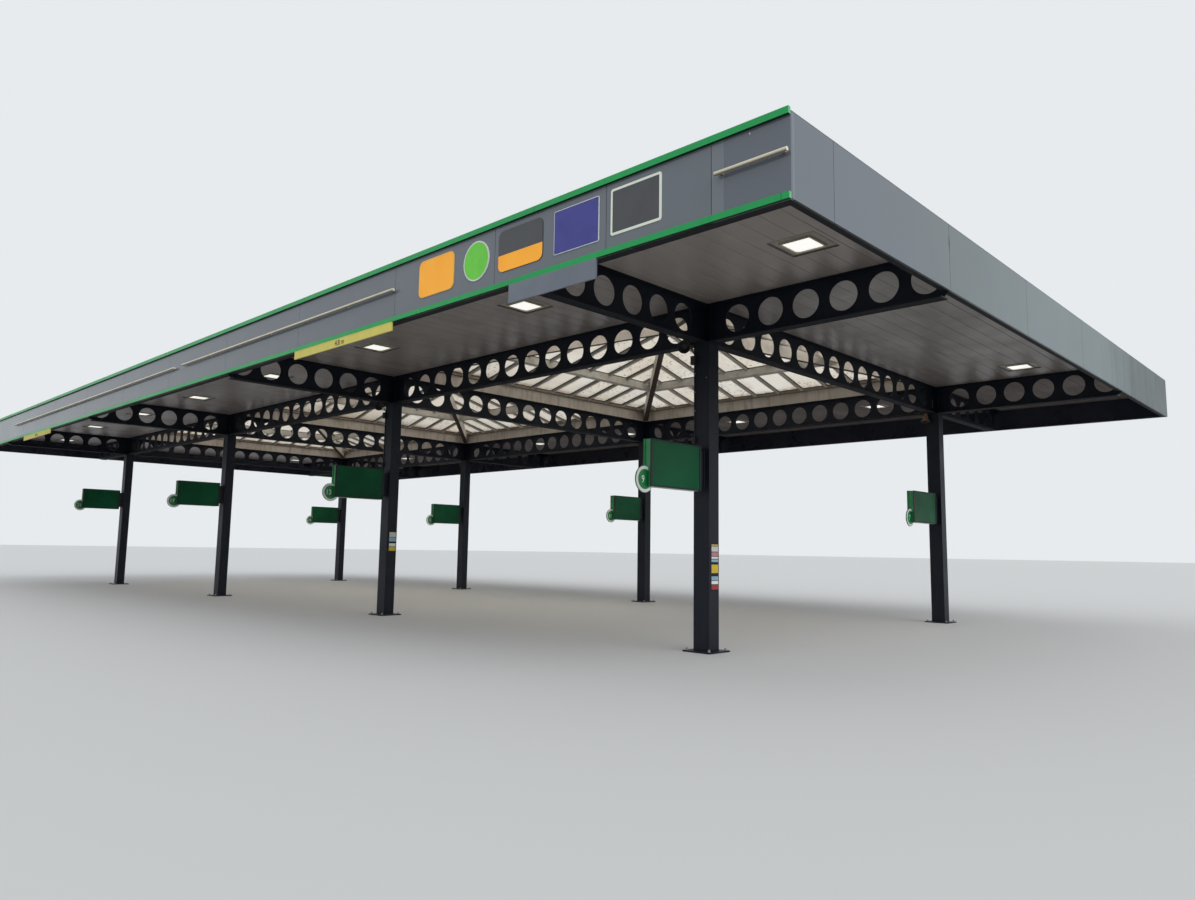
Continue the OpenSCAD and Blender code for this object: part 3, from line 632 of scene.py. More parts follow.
class Shapes:
    """Collects boxes, prisms and tubes, then makes one object of them"""

    def __init__(self):
        self.corners, self.faces, self.paints, self.smooth = [], [], [], []

    def cover(self, first, faces, paint, smooth):
        """Faces over corners that are there, counted from one of them"""
        for face in faces:
            self.faces.append([first + k for k in face])
            self.paints.append(paint)
            self.smooth.append(smooth)

    def put(self, corners, faces, paint=0, smooth=False, place=Matrix()):
        first = len(self.corners)
        self.corners += [place @ Vector(c) for c in corners]
        self.cover(first, faces, paint, smooth)

    def box(self, low, high, paint=0, place=Matrix()):
        (x0, y0, z0), (x1, y1, z1) = low, high
        flat = ((x0, y0), (x1, y0), (x1, y1), (x0, y1))
        self.put([(x, y, z) for z in (z0, z1) for x, y in flat], BOX_FACES, paint, False, place)

    def prism(self, outline, start, end, axis="z", paint=0, place=Matrix(), smooth=False):
        """An outline, counter-clockwise, drawn out between two places on an axis"""
        n, first = len(outline), len(self.corners)
        corners = [[(a, b, c)[k] for k in AXIS_ORDER[axis]]
                   for c in (start, end) for a, b in outline]
        ends = [tuple(range(n - 1, -1, -1)), tuple(range(n, 2 * n))]
        self.put(corners, ends, paint, False, place)
        sides = [(k, (k + 1) % n, n + (k + 1) % n, n + k) for k in range(n)]
        self.cover(first, sides, paint, smooth)

    def tube(self, path, radius, paint=0, sides=10):
        """A round tube along points, closed at both ends"""
        path = [Vector(p) for p in path]
        corners, faces, across = [], [], None
        for k, point in enumerate(path):
            ahead = (path[min(k + 1, len(path) - 1)] - path[max(k - 1, 0)]).normalized()
            if across is None:
                across = ahead.orthogonal().normalized()
            across = (across - ahead * across.dot(ahead)).normalized()
            beside = ahead.cross(across)
            corners += [point + radius * (across * math.cos(t) + beside * math.sin(t))
                        for t in (math.tau * j / sides for j in range(sides))]
        for k in range(len(path) - 1):
            for j in range(sides):
                a, b = k * sides + j, k * sides + (j + 1) % sides
                faces.append((a, b, b + sides, a + sides))
        self.put(corners, faces, paint, True)
        self.put(corners[:sides], [tuple(range(sides - 1, -1, -1))], paint)
        self.put(corners[-sides:], [tuple(range(sides))], paint)

    def make(self, name, paints, replaces=(), bevel=0.0):
        mesh = bpy.data.meshes.new(name)
        mesh.from_pydata(self.corners, [], self.faces)
        for paint in paints:
            mesh.materials.append(paint)
        for face, paint, smooth in zip(mesh.polygons, self.paints, self.smooth):
            face.material_index = paint
            face.use_smooth = smooth
        mesh.update()
        piece = show(name, mesh)
        if bevel:
            edge = piece.modifiers.new("soft edges", "BEVEL")
            edge.width = bevel
            edge.segments = 2
            edge.limit_method = "ANGLE"
            edge.angle_limit = math.radians(50)
        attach(piece, "root")
        if replaces:
            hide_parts(*replaces)
        print(name, len(mesh.polygons), "faces")
        return piece

# %% [markdown]
# A prism starts from an outline. Circles and rectangles with round corners are the two that come
# back most often. Many parts come in pairs about a middle line, so one helper gives two places on
# one side of it in rising order.

# %% Outlines and pairs
def circle(r, n=32):
    return [(r * math.cos(math.tau * k / n), r * math.sin(math.tau * k / n)) for k in range(n)]


def rounded(w, h, r, n=6):
    """A rectangle with round corners, counter-clockwise, about its middle"""
    a, b = w / 2 - r, h / 2 - r
    middles = ((a, b), (-a, b), (-a, -b), (a, -b))
    turns = [(cx, cy, math.radians(90 * (quarter + k / n)))
             for quarter, (cx, cy) in enumerate(middles) for k in range(n + 1)]
    return [(cx + r * math.cos(t), cy + r * math.sin(t)) for cx, cy, t in turns]


def facing_front(outline):
    """An outline of x and z, in the order that a prism along Y takes"""
    return [(z, x) for x, z in outline][::-1]


def on_side(s, a, b):
    """Two distances from a middle line, as rising places on its side s"""
    return sorted((s * a, s * b))


print("a circle of", len(circle(1)), "points, a plate outline of", len(rounded(2, 1, 0.1)))

# %% [markdown]
# ## Plank ceiling
# The underside of the overhangs is clad with long metal planks, laid from front to back. Each is a
# shallow tray whose edges turn up, with an open groove to its neighbour. A bump map could draw the
# grooves, but they catch real shadow, so each plank is a prism of its own profile, cut short where
# a light sits.

# %% Places of the lights, and planks that keep clear of them
GROOVE, EDGE_FOLD, PLANK_T = 0.006, 0.004, 0.012
THINNEST, SHORTEST, TRAY_HALF = 0.03, 0.02, 0.3375
FIRST_LIGHT, LIGHT_PITCH = 6.1, 4.43
# Places off a row of columns, and for the lights at the ends also in from the end
LIGHT_ROWS = (("front", -1.95), ("back", 1.53))
END_LIGHTS = (("front", 1.3, -1.44), ("back", 1.6, -1.19))
LIGHTS = [(half_w - FIRST_LIGHT - LIGHT_PITCH * k, rows[row] + off)
          for row, off in LIGHT_ROWS for k in range(6)]
LIGHTS += [(s * (half_w - inset), rows[row] + off)
           for row, inset, off in END_LIGHTS for s in (-1, 1)]
print(len(LIGHTS), "lights in the ceiling")


def lengths(x0, x1, y0, y1):
    """Lengths of a plank that stay clear of the lights over it"""
    pieces = [(y0, y1)]
    for lx, ly in LIGHTS:
        if lx - TRAY_HALF < x1 and lx + TRAY_HALF > x0:
            cut = []
            for a, b in pieces:
                if ly - TRAY_HALF < b and ly + TRAY_HALF > a:
                    cut += [(a, ly - TRAY_HALF), (ly + TRAY_HALF, b)]
                else:
                    cut.append((a, b))
            pieces = cut
    return [(a, b) for a, b in pieces if b - a > SHORTEST]


def cuts(lights, low, high):
    """Strips between two places, parted at the edges of the trays"""
    edges = (x + side for x, _ in lights for side in (-TRAY_HALF, TRAY_HALF))
    places = sorted({low, high, *(e for e in edges if low < e < high)})
    return zip(places, places[1:])


def plank_field(shapes, x0, x1, y0, y1):
    """Planks along Y from a common grid, cut at the field's edges, and the backing above them"""
    foot = ceiling_under
    for k in range(math.floor(x0 / PLANK_PITCH), math.ceil(x1 / PLANK_PITCH)):
        a = max(x0, k * PLANK_PITCH + GROOVE / 2)
        b = min(x1, (k + 1) * PLANK_PITCH - GROOVE / 2)
        if b - a < THINNEST:
            continue
        for left, right_edge in cuts(LIGHTS, a, b):
            lo, hi = EDGE_FOLD * (left == a), EDGE_FOLD * (right_edge == b)
            outline = [(left + lo, foot), (right_edge - hi, foot),
                       (right_edge, foot + EDGE_FOLD), (right_edge, foot + PLANK_T),
                       (left, foot + PLANK_T), (left, foot + EDGE_FOLD)]
            for y_from, y_to in lengths(left, right_edge, y0, y1):
                shapes.prism(facing_front(outline), y_from, y_to, "y")
    for a, b in cuts([light for light in LIGHTS if y0 < light[1] < y1], x0, x1):
        for y_from, y_to in lengths(a + MM, b - MM, y0, y1):
            shapes.box((a, y_from, foot + PLANK_T), (b, y_to, steel_top))

# %% [markdown]
# The front and back ceilings have a field between each two beams and one beyond the outer beams.
# The ceilings at the ends are one field each.

# %% Planks between the beams
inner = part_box("ceiling_right")[1].x
front_in, back_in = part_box("ceiling_front")[0].y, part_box("ceiling_back")[1].y
front_edge, back_edge = rows["front"] - FLANGE_HALF, rows["back"] + FLANGE_HALF
field_xs = [-inner - FLANGE_HALF, *column_xs, inner + FLANGE_HALF]
for name, y0, y1, paint in (("front", front_in, front_edge, PLANK),
                            ("back", back_edge, back_in, DULL_SHADED_PLANK)):
    planks = Shapes()
    for a, b in zip(field_xs, field_xs[1:]):
        plank_field(planks, a + FLANGE_HALF, b - FLANGE_HALF, y0, y1)
    planks.make(f"planks_{name}", [paint], replaces=[f"ceiling_{name}"])
for name, side in (("left", -1), ("right", 1)):
    planks = Shapes()
    a, b = on_side(side, column_xs[3] + FLANGE_HALF, inner)
    plank_field(planks, a, b, rows["front"] + FLANGE_HALF, rows["back"] - FLANGE_HALF)
    planks.make(f"planks_{name}", [PLANK], replaces=[f"ceiling_{name}"])

# %% [markdown]
# ## Ceiling lights
# A square light sits in the ceiling: a grey tray fills the opening, and the lamp stands in the
# middle of it with a cream rim and a milky cover, a little sunk. The tray is paler than the
# ceiling, which is painted light from the lamp. The tray's edge is a thin folded frame, which shows
# as fine lines in the ceiling, so it is made of real bars, and thin black bars on its inner walls
# are painted shade. The cover is slightly domed, with round corners, so that it does not look like
# paper.

# %% Trays, frames, rims and covers
LAMP_HALF, RIM, SKIN, SHADE, FLANGE, TRAY_GAP = 0.225, 0.024, 0.003, 0.0015, 0.012, 0.002
COVER_CORNER = 0.045
lamp_foot, tray_foot, frame_foot = ceiling_under - 0.014, steel_top - 0.007, ceiling_under - 0.005
# The thin black bars of paint 3 are painted shade on the frame's inner walls
# Width, foot and paint of each bar of the frame, from outside to inside
FRAME_BARS = ((SKIN, frame_foot, 0), (SHADE, frame_foot + 0.0005, 3),
              (FLANGE, frame_foot + 0.0095, 0), (SHADE, frame_foot + 0.010, 3))
# Half width and foot of each ring of the cover
COVER_RINGS = ((LAMP_HALF - RIM, lamp_foot + 0.014), (LAMP_HALF - RIM - 0.004, lamp_foot + 0.011),
               (LAMP_HALF - 0.06, lamp_foot + 0.008))


def square_ring(shapes, lx, ly, outer, wide, low, high, paint):
    """Four bars round a square"""
    inside = outer - wide
    for s in (-1, 1):
        a, b = on_side(s, outer, inside)
        shapes.box((lx + a, ly - outer, low), (lx + b, ly + outer, high), paint)
        shapes.box((lx - inside, ly + a, low), (lx + inside, ly + b, high), paint)


lamps = Shapes()
for lx, ly in LIGHTS:
    outer = TRAY_HALF - TRAY_GAP
    lamps.box((lx - outer, ly - outer, tray_foot), (lx + outer, ly + outer, steel_top))
    for wide, foot, paint in FRAME_BARS:
        square_ring(lamps, lx, ly, outer, wide, foot, tray_foot, paint)
        outer -= wide
    square_ring(lamps, lx, ly, LAMP_HALF, RIM, lamp_foot, tray_foot, 1)
    rings = [[(lx + x, ly + y, z) for x, y in rounded(2 * c, 2 * c, COVER_CORNER)]
             for c, z in COVER_RINGS]
    n = len(rings[0])
    faces = [(k * n + (j + 1) % n, k * n + j, k * n + n + j, k * n + n + (j + 1) % n)
             for k in range(2) for j in range(n)] + [tuple(range(3 * n - 1, 2 * n - 1, -1))]
    lamps.put([p for ring in rings for p in ring], faces, 2, True)
lamps.make("square_lights", [LAMP_LIT_TRAY, LAMP_RIM, COVER, BLACK], replaces=["ceiling_lights"])

# %% [markdown]
# ## Column signs
# Each column carries a slim sign box on its front side. The box is a frame of dark extrusions
# around two green faces that sit a few millimetres deep, with a light green end strip and a pale
# light strip below. A number disc for the lane is pushed into the end. The faces are blank, and
# the numbers are plain.

# %% Sign boxes
SIGN_FEET = {"front": (2.780, 2.670, 2.600, 2.465), "back": (2.550, 2.430, 2.440, 2.250)}
LANE_NUMBERS = {"front": (21, 17, 13, 9), "back": (19, 15, 11, 7)}
SIGN_T, SIGN_L, SIGN_H, SIGN_GAP = 0.16, 1.217, 0.70, 0.103
END_CAP, EDGE, FACE_IN, FACE_SINK, STRIP_OUT, STRIP_IN = 0.045, 0.020, 0.020, 0.008, 0.062, 0.050
WALL_PLATE_T, WALL_PLATE_HALF, BOLT_AT = 0.012, 0.07, 0.055


def sign_box(shapes, place):
    """A box with its bracket, from the middle of the free end's foot"""
    half, far, wall = SIGN_T / 2, SIGN_L - END_CAP, SIGN_L + SIGN_GAP
    arm_low, arm_high = SIGN_H / 8, SIGN_H * 7 / 8

    def block(across, deep, rise, paint):
        low, high = zip(sorted(across), deep, rise)
        shapes.box(low, high, paint, place)

    block((-half, half), (END_CAP, far), (0, EDGE), 1)
    block((-half, half), (END_CAP, far), (SIGN_H - EDGE, SIGN_H), 1)
    block((-half, half), (far, SIGN_L), (0, SIGN_H), 1)
    for s in (-1, 1):
        block((s * half, s * STRIP_OUT), (0, END_CAP), (0, SIGN_H), 1)
        block((s * STRIP_OUT, s * STRIP_IN), (MM, END_CAP), (MM, SIGN_H - MM), 2)
        block((s * (half - FACE_SINK), s * (half - FACE_IN)), (END_CAP, far),
              (EDGE, SIGN_H - EDGE), 0)
        for z in (arm_low, arm_high):
            shapes.prism(circle(0.009, 6), wall - 0.020, wall - WALL_PLATE_T, "y", 1,
                         place @ Matrix.Translation((s * BOLT_AT, 0, z)))
    block((-STRIP_IN, STRIP_IN), (0.025, END_CAP), (MM, SIGN_H - MM), 2)
    block((0.02 - half, half - 0.02), (END_CAP + 0.02, far - 0.02), (-0.006, 0), 3)
    block((-0.04, 0.04), (SIGN_L, wall - WALL_PLATE_T), (arm_low, arm_high), 1)
    block((-WALL_PLATE_HALF, WALL_PLATE_HALF), (wall - WALL_PLATE_T, wall),
          (arm_low - 0.03, arm_high + 0.03), 1)


for row, y in rows.items():
    boxes = Shapes()
    for x, foot in zip(column_xs, SIGN_FEET[row]):
        sign_box(boxes, Matrix.Translation((x, y - COLUMN_D / 2 - SIGN_GAP - SIGN_L, foot)))
    boxes.make(f"sign_boxes_{row}", [SIGN_FACE, SIGN_FRAME, SIGN_END, WHITE],
               replaces=[f"column_signs_{row}"], bevel=0.003)

# %% [markdown]
# A number can be drawn as a curve, but a built-in font gives it in one step. The text object is
# turned into corners and faces, and then it is removed again. Each disc shows its number on both
# sides.

# %% Number discs
DISC_R, DISC_T, DISC_OUT, DISC_RISE, DISC_SIDES = 0.195, 0.020, 0.054, 0.100, 56
RING_IN_R, RING_OUT_R, RING_LIFT = DISC_R - 0.048, DISC_R - 0.002, 0.0012
NUMBER_SIZE, NUMBER_SHIFT, NUMBER_NARROW = 0.155, 0.04, 0.9


def number_mesh(text, size, depth):
    """Corners and faces of a plain number, lying in XY, made from the built-in font"""
    curve = bpy.data.curves.new("number", "FONT")
    curve.body = text
    curve.size = size
    curve.align_x = curve.align_y = "CENTER"
    curve.extrude = depth
    curve.resolution_u = 3
    holder = show("number", curve)
    bpy.context.view_layer.update()
    mesh = holder.to_mesh()
    xs = [v.co.x for v in mesh.vertices]
    ys = [v.co.y for v in mesh.vertices]
    shift = Vector(((min(xs) + max(xs)) / 2, (min(ys) + max(ys)) / 2, 0))
    corners = [v.co - shift for v in mesh.vertices]
    faces = [tuple(p.vertices) for p in mesh.polygons]
    holder.to_mesh_clear()
    bpy.data.objects.remove(holder)
    bpy.data.curves.remove(curve)
    return corners, faces


def disc(shapes, x, y, z, number):
    """A green disc that faces both ways along X, with a white ring and its number"""
    half, n = DISC_T / 2, DISC_SIDES
    shapes.prism(circle(DISC_R, n), -half, half, "x", 1, Matrix.Translation((x, y, z)), True)
    corners, faces = number_mesh(str(number), NUMBER_SIZE, MM)
    corners = [(c.x * NUMBER_NARROW, c.y, c.z + MM) for c in corners]
    ring = [(a, b, RING_LIFT) for r in (RING_IN_R, RING_OUT_R) for a, b in circle(r, n)]
    ring_faces = [(k, n + k, n + (k + 1) % n, (k + 1) % n) for k in range(n)]
    for s in (-1, 1):
        turn = (Matrix.Translation((x + s * half, y, z))
                @ Matrix(((0, 0, s), (s, 0, 0), (0, 1, 0))).to_4x4())
        shapes.put(ring, ring_faces, 2, False, turn)
        shapes.put(corners, faces, 2, False, turn @ Matrix.Translation((-NUMBER_SHIFT * s, 0, 0)))


for row, y in rows.items():
    discs = Shapes()
    for x, foot, number in zip(column_xs, SIGN_FEET[row], LANE_NUMBERS[row]):
        disc(discs, x, y - COLUMN_D / 2 - SIGN_GAP - SIGN_L - DISC_OUT, foot + DISC_RISE, number)
    discs.make(f"lane_discs_{row}", [SIGN_FRAME, DISC, WHITE],
               replaces=[f"column_signs_{row}"])

# %% [markdown]
# ## Card plates and headroom boards
# The front fascia carries a row of five card plates. They are sheet metal with round corners, so
# their outline is drawn and extruded, and a plain field of colour lies inside a border. The plates
# are lit from behind, which lifts their colour a little, so they have a weak emission of the same
# colour.

# %% Card plates
def lit_plate(name, base, worn, gloss=0.35):
    return lit(plain(name, base, worn, gloss), colour(base), 0.3)


ORANGE = lit_plate("orange plate", (252, 172, 30), (244, 164, 36))
ORANGE_RIM = plain("orange plate rim", (232, 196, 130), (222, 184, 118))
LEAF = lit_plate("leaf plate", (96, 194, 50), (84, 180, 48))
NAVY = lit_plate("navy plate", (50, 52, 132), (46, 48, 120))
CHARCOAL = plain("charcoal plate", (74, 76, 80), (84, 86, 88))
PALE = lit_plate("pale plate", (212, 218, 206), (198, 206, 192), 0.4)

PLATE_T, PLATE_H, FIELD_T, BAND_H, BAND_MIDDLE = 0.012, 0.56, 0.001, 0.225, -0.17
# Left edge from the right end, width, foot, corner, paints of field and edge, border
CARD_PLATES = (
    (6.24, 0.85, 5.155, 0.10, 0, 1, 0.010),
    (5.17, 0.56, 5.150, 0.279, 2, 6, 0.020),
    (4.41, 0.86, 5.150, 0.09, 4, 4, 0.004),
    (3.34, 0.77, 5.140, 0.02, 3, 6, 0.009),
    (2.38, 0.76, 5.150, 0.03, 4, 5, 0.030),
)
plates = Shapes()
plate_front = front_face - PLATE_T


def at_plate(left_in, w, foot):
    return Matrix.Translation((half_w - left_in + w / 2, 0, foot + PLATE_H / 2))


for left_in, w, foot, corner, field, edge, border in CARD_PLATES:
    place = at_plate(left_in, w, foot)
    outline = facing_front(rounded(w, PLATE_H, corner))
    plates.prism(outline, plate_front + 2 * FIELD_T, front_face, "y", edge, place)
    inside = rounded(w - 2 * border, PLATE_H - 2 * border, max(0.01, corner - border))
    plates.prism(facing_front(inside), plate_front + FIELD_T, plate_front + 2 * FIELD_T, "y",
                 field, place)

left_in, w, foot, corner = CARD_PLATES[2][:4]
top = BAND_H - PLATE_H / 2
outline = [p for p in rounded(w, PLATE_H, corner) if p[1] < top]
outline += [(w / 2, top), (-w / 2, top)]
outline.sort(key=lambda p: math.atan2(p[1] - BAND_MIDDLE, p[0]))
plates.prism(facing_front(outline), plate_front, plate_front + FIELD_T, "y", 0,
             at_plate(left_in, w, foot))
plates.make("card_plates", [ORANGE, ORANGE_RIM, LEAF, NAVY, CHARCOAL, PALE, WHITE],
            replaces=["sign_plates"])

# %% [markdown]
# Two yellow boards under the fascia tell the headroom. Each is a thin sheet with its top and
# bottom edge folded forward, and the height stands on it in plain figures.

# %% Headroom boards
BOARD_EDGES = ((6.88, 9.97), (25.41, 28.50))
FOLD, SHEET_IN, SHEET_OUT = 0.008, 0.003, 0.025
boards = Shapes()
board_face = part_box("height_boards")[0].y
board_foot, board_head = (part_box("height_boards")[k].z for k in (0, 1))
text, faces = number_mesh("4.8 m", 0.13, 0.0008)
for right_in, left_in in BOARD_EDGES:
    a, b = half_w - left_in, half_w - right_in
    boards.box((a, board_face + SHEET_IN, board_foot), (b, board_face + SHEET_OUT, board_head))
    for z in (board_foot, board_head - FOLD):
        boards.box((a, board_face, z), (b, board_face + SHEET_IN, z + FOLD))
    middle = ((a + b) / 2, board_face + SHEET_IN / 2, (board_foot + board_head) / 2)
    turn = Matrix.Translation(middle) @ Matrix.Rotation(math.radians(90), 4, "X")
    boards.put(text, faces, 1, False, turn)
boards.make("headroom_boards", [YELLOW, BLACK], replaces=["height_boards"])

# %% [markdown]
# ## Horn speakers
# Three re-entrant horns hang at the column heads. A horn is a turned shape: its profile goes round
# an axis, so the mesh is made of rings, shaded smooth. The mouth looks along the local -Z axis and
# each horn is turned and tilted into place. Its foot is a small bent strap.

# %% Horns
# Column, row, place from the column's middle, height, turn and tilt in degrees
HORNS = ((3, "front", -0.250, -0.260, 4.790, 30, 70), (2, "front", -0.250, -0.260, 4.790, 30, 70),
         (3, "back", -0.105, -0.260, 4.640, 0, 10))
# Radius and height along the outside and the inside
BELL = [(0.105, 0.000), (0.1055, 0.006), (0.103, 0.012), (0.092, 0.030), (0.076, 0.055),
        (0.060, 0.085), (0.047, 0.110), (0.038, 0.135), (0.036, 0.142), (0.036, 0.196),
        (0.030, 0.200), (0.0, 0.200)]
BORE = [(0.0, 0.105), (0.012, 0.100), (0.028, 0.096), (0.036, 0.100), (0.050, 0.084),
        (0.066, 0.056), (0.082, 0.031), (0.093, 0.014), (0.100, 0.002), (0.105, 0.000)]
STRAP_HALF, STRAP_T, STRAP_OUT, STRAP_AT, STRAP_FOOT = 0.018, 0.006, 0.09, 0.160, 0.100
horns = Shapes()


def turned(shapes, profile, paint, place, n=40):
    """A profile of radius and height, turned round Z"""
    corners = [(a, b, z) for r, z in profile for a, b in circle(r, n)]
    faces = [(j * n + k, j * n + (k + 1) % n, (j + 1) * n + (k + 1) % n, (j + 1) * n + k)
             for j in range(len(profile) - 1) for k in range(n)]
    shapes.put(corners, faces, paint, True, place)


for i, row, dx, dy, z, turn, tilt in HORNS:
    place = (Matrix.Translation((column_xs[i] + dx, rows[row] + dy, z))
             @ Matrix.Rotation(math.radians(turn), 4, "Z")
             @ Matrix.Rotation(math.radians(-tilt), 4, "X"))
    turned(horns, BELL, 0, place)
    turned(horns, BORE, 1, place)
    horns.box((-STRAP_HALF, 0, STRAP_AT), (STRAP_HALF, STRAP_OUT, STRAP_AT + STRAP_T), 2, place)
    horns.box((-STRAP_HALF, STRAP_OUT - STRAP_T, STRAP_FOOT), (STRAP_HALF, STRAP_OUT, STRAP_AT), 2,
              place)
horns.make("horn_speakers", [RUST, BLACK, GALV], replaces=["speakers"])

# %% [markdown]
# ## Glazing trims
# A pane sits on its bars between rubber gaskets, and a pressure cap holds it down from above. From
# below a gasket is the dark line on each side of a bar, and from above a cap is the pale line over
# it. Folded flashings cover the hips and the foot of the glazing. One side of a roof is made and
# turned four times.

# %% One slope of gaskets, caps and flashings
RISE, RUN, KERB_H = 1.16, 4.4, 0.35
SLOPE, APEX = RISE / RUN, steel_top + KERB_H + RISE
BAR_W, RING, RING_W, RAIL_AT, PANE_EDGE = 0.060, 2.9, 0.100, 4.34, 4.485
GLASS_T, CAP_T, CAP_HALF, HIP_CAP_W, HIP_HEAD = 0.016, 0.012, 0.025, 0.075, 0.19
GASKET, GASKET_H, HIP_OFF = 0.013, 0.016, 0.099
CAP_HEAD, HIP_CAP_T, FLASH_W, FLASH_T = 0.06, 0.005, 0.05, 0.003
CLEAT_AT, CLEAT_HALF, CLEAT_NEAR, CLEAT_FAR = RING - 0.16, 0.02, 0.015, 0.095
CLEAT_RISE = (-0.13, -0.03)
bar_places = [(k + 0.5) * BAR_PITCH for k in range(-6, 6)]
gasket_rows = ((RING - RING_W / 2 - GASKET, RING - RING_W / 2),
               (RING + RING_W / 2, RING + RING_W / 2 + GASKET), (RAIL_AT - GASKET, RAIL_AT))


def one_slope(shapes, place):
    """The trims of one slope: u runs across it, v down it, and d off the underside of the glass"""
    def block(u, v, d, paint):
        flat = ((u[0], v[0]), (u[1], v[0]), (u[1], v[1]), (u[0], v[1]))
        corners = [(a, b, APEX - SLOPE * b + lift) for lift in d for a, b in flat]
        shapes.put(corners, BOX_FACES, paint, False, place)

    under, over_glass = (-GASKET_H, 0.0), (GLASS_T, GLASS_T + CAP_T)
    for b in bar_places:
        for s in (-1, 1):
            u = sorted((b + s * BAR_W / 2, b + s * (BAR_W / 2 + GASKET)))
            block(u, (max(abs(c) for c in u) + HIP_OFF, RAIL_AT), under, 0)
        block((b - CAP_HALF, b + CAP_HALF), (abs(b) + CAP_HEAD, PANE_EDGE), over_glass, 1)
    for a, b in zip(bar_places, bar_places[1:]):
        u = (a + BAR_W / 2 + GASKET, b - BAR_W / 2 - GASKET)
        for v in gasket_rows:
            if max(abs(c) for c in u) + HIP_OFF < v[0]:
                block(u, v, under, 0)
    for s in (-1, 1):
        hip = ((HIP_HEAD, 0), (PANE_EDGE, 0), (PANE_EDGE, HIP_CAP_W), (HIP_HEAD, HIP_CAP_W))
        corners = [(s * (v - w), v, APEX - SLOPE * v + d)
                   for d in (GLASS_T + CAP_T, GLASS_T + CAP_T + HIP_CAP_T) for v, w in hip]
        faces = BOX_FACES if s < 0 else [face[::-1] for face in BOX_FACES]
        shapes.put(corners, faces, 1, False, place)
        block(on_side(s, CLEAT_AT - HIP_OFF - CLEAT_NEAR, CLEAT_AT - HIP_OFF - CLEAT_FAR),
              (CLEAT_AT - CLEAT_HALF, CLEAT_AT + CLEAT_HALF), CLEAT_RISE, 2)
    block((-PANE_EDGE, PANE_EDGE), (PANE_EDGE - FLASH_W, PANE_EDGE),
          (GLASS_T, GLASS_T + FLASH_T), 1)


for i in (1, 2, 3):
    trims = Shapes()
    for quarter in range(4):
        one_slope(trims, Matrix.Translation(((i - 2) * bay, bay_mid_y, 0))
                  @ Matrix.Rotation(math.radians(90 * quarter), 4, "Z"))
    trims.make(f"rooflight_trims_{i}", [BLACK, CAP, WHITE])

# %% [markdown]
# ## Seals in the panel joints
# An open joint between two fascia panels is closed a few millimetres back by a strip of sealant,
# so that it reads as a fine line and not as a black slot. One block in each joint does it. Two
# joints have a pale block that stands almost at the face instead, a painted highlight on the edge
# of a panel.

# %% Joint seals
PALE_JOINTS = (CORNER_PANEL, 34.00)
standard_joints = [FIRST_STANDARD + k * PANEL_PITCH for k in range(8)]
long_joints = [CORNER_PANEL, 0.95, 2.46, 4.50, *standard_joints, 28.80, 31.86, 33.85, 34.00]
SEAL_HALF, SEAL_BACK, PALE_BACK, PANEL_DEEP = 0.0038, 0.004, 0.001, 0.030
seal_foot, seal_head = fascia_foot + 0.002, fascia_head - 0.010
seals = Shapes()
for d in long_joints:
    # The pale joints get a painted highlight near the face
    pale = d in PALE_JOINTS
    x, front = half_w - d, front_face + (PALE_BACK if pale else SEAL_BACK)
    seals.box((x - SEAL_HALF, front, seal_foot),
              (x + SEAL_HALF, front_face + PANEL_DEEP, seal_head), int(pale))
    seals.box((-x - SEAL_HALF, back_face - PANEL_DEEP, seal_foot),
              (-x + SEAL_HALF, back_face - SEAL_BACK, seal_head))
for k in range(6):
    y = front_face + END_CORNER + k * PANEL_PITCH
    for s in (-1, 1):
        a, b = on_side(s, half_w - PANEL_DEEP, half_w - SEAL_BACK)
        seals.box((a, y - SEAL_HALF, seal_foot), (b, y + SEAL_HALF, seal_head))
seals.make("joint_seals", [SEAL, JOINT_HIGHLIGHT])

# %% [markdown]
# ## Return lips
# On the long sides the lining turns inwards at its foot and ends in a folded lip, which makes the
# dark band under the fascia wider. A lip is a thin sheet at the level of the fascia's foot, and it
# stops on both sides of each beam.

# %% Return lips
LIP, LIP_T, NOTCH = 0.050, 0.003, FLANGE_HALF + 0.010
lips = Shapes()
deep_in, wide_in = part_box("fascia_frame_front")[1].y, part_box("fascia_frame_right")[0].x
back_in_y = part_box("fascia_frame_back")[0].y
stops = [-wide_in, *(x + side for x in column_xs for side in (-NOTCH, NOTCH)), wide_in]
for a, b in zip(stops[::2], stops[1::2]):
    lips.box((a, deep_in, fascia_foot), (b, deep_in + LIP, fascia_foot + LIP_T))
    lips.box((a, back_in_y - LIP, fascia_foot), (b, back_in_y, fascia_foot + LIP_T))
lips.make("return_lips", [LINING])

# %% [markdown]
# ## Anchor nuts and welds
# A column stands on four bolts that are cast into its foundation. What shows is a washer, a nut
# and the end of the bolt. All of them are one mesh, and the weld round the foot of each shaft is
# in it as well.

# %% Anchor nuts and welds
BOLT_HALF, PLATE_TOP, WELD = 0.21, 0.025, 0.010
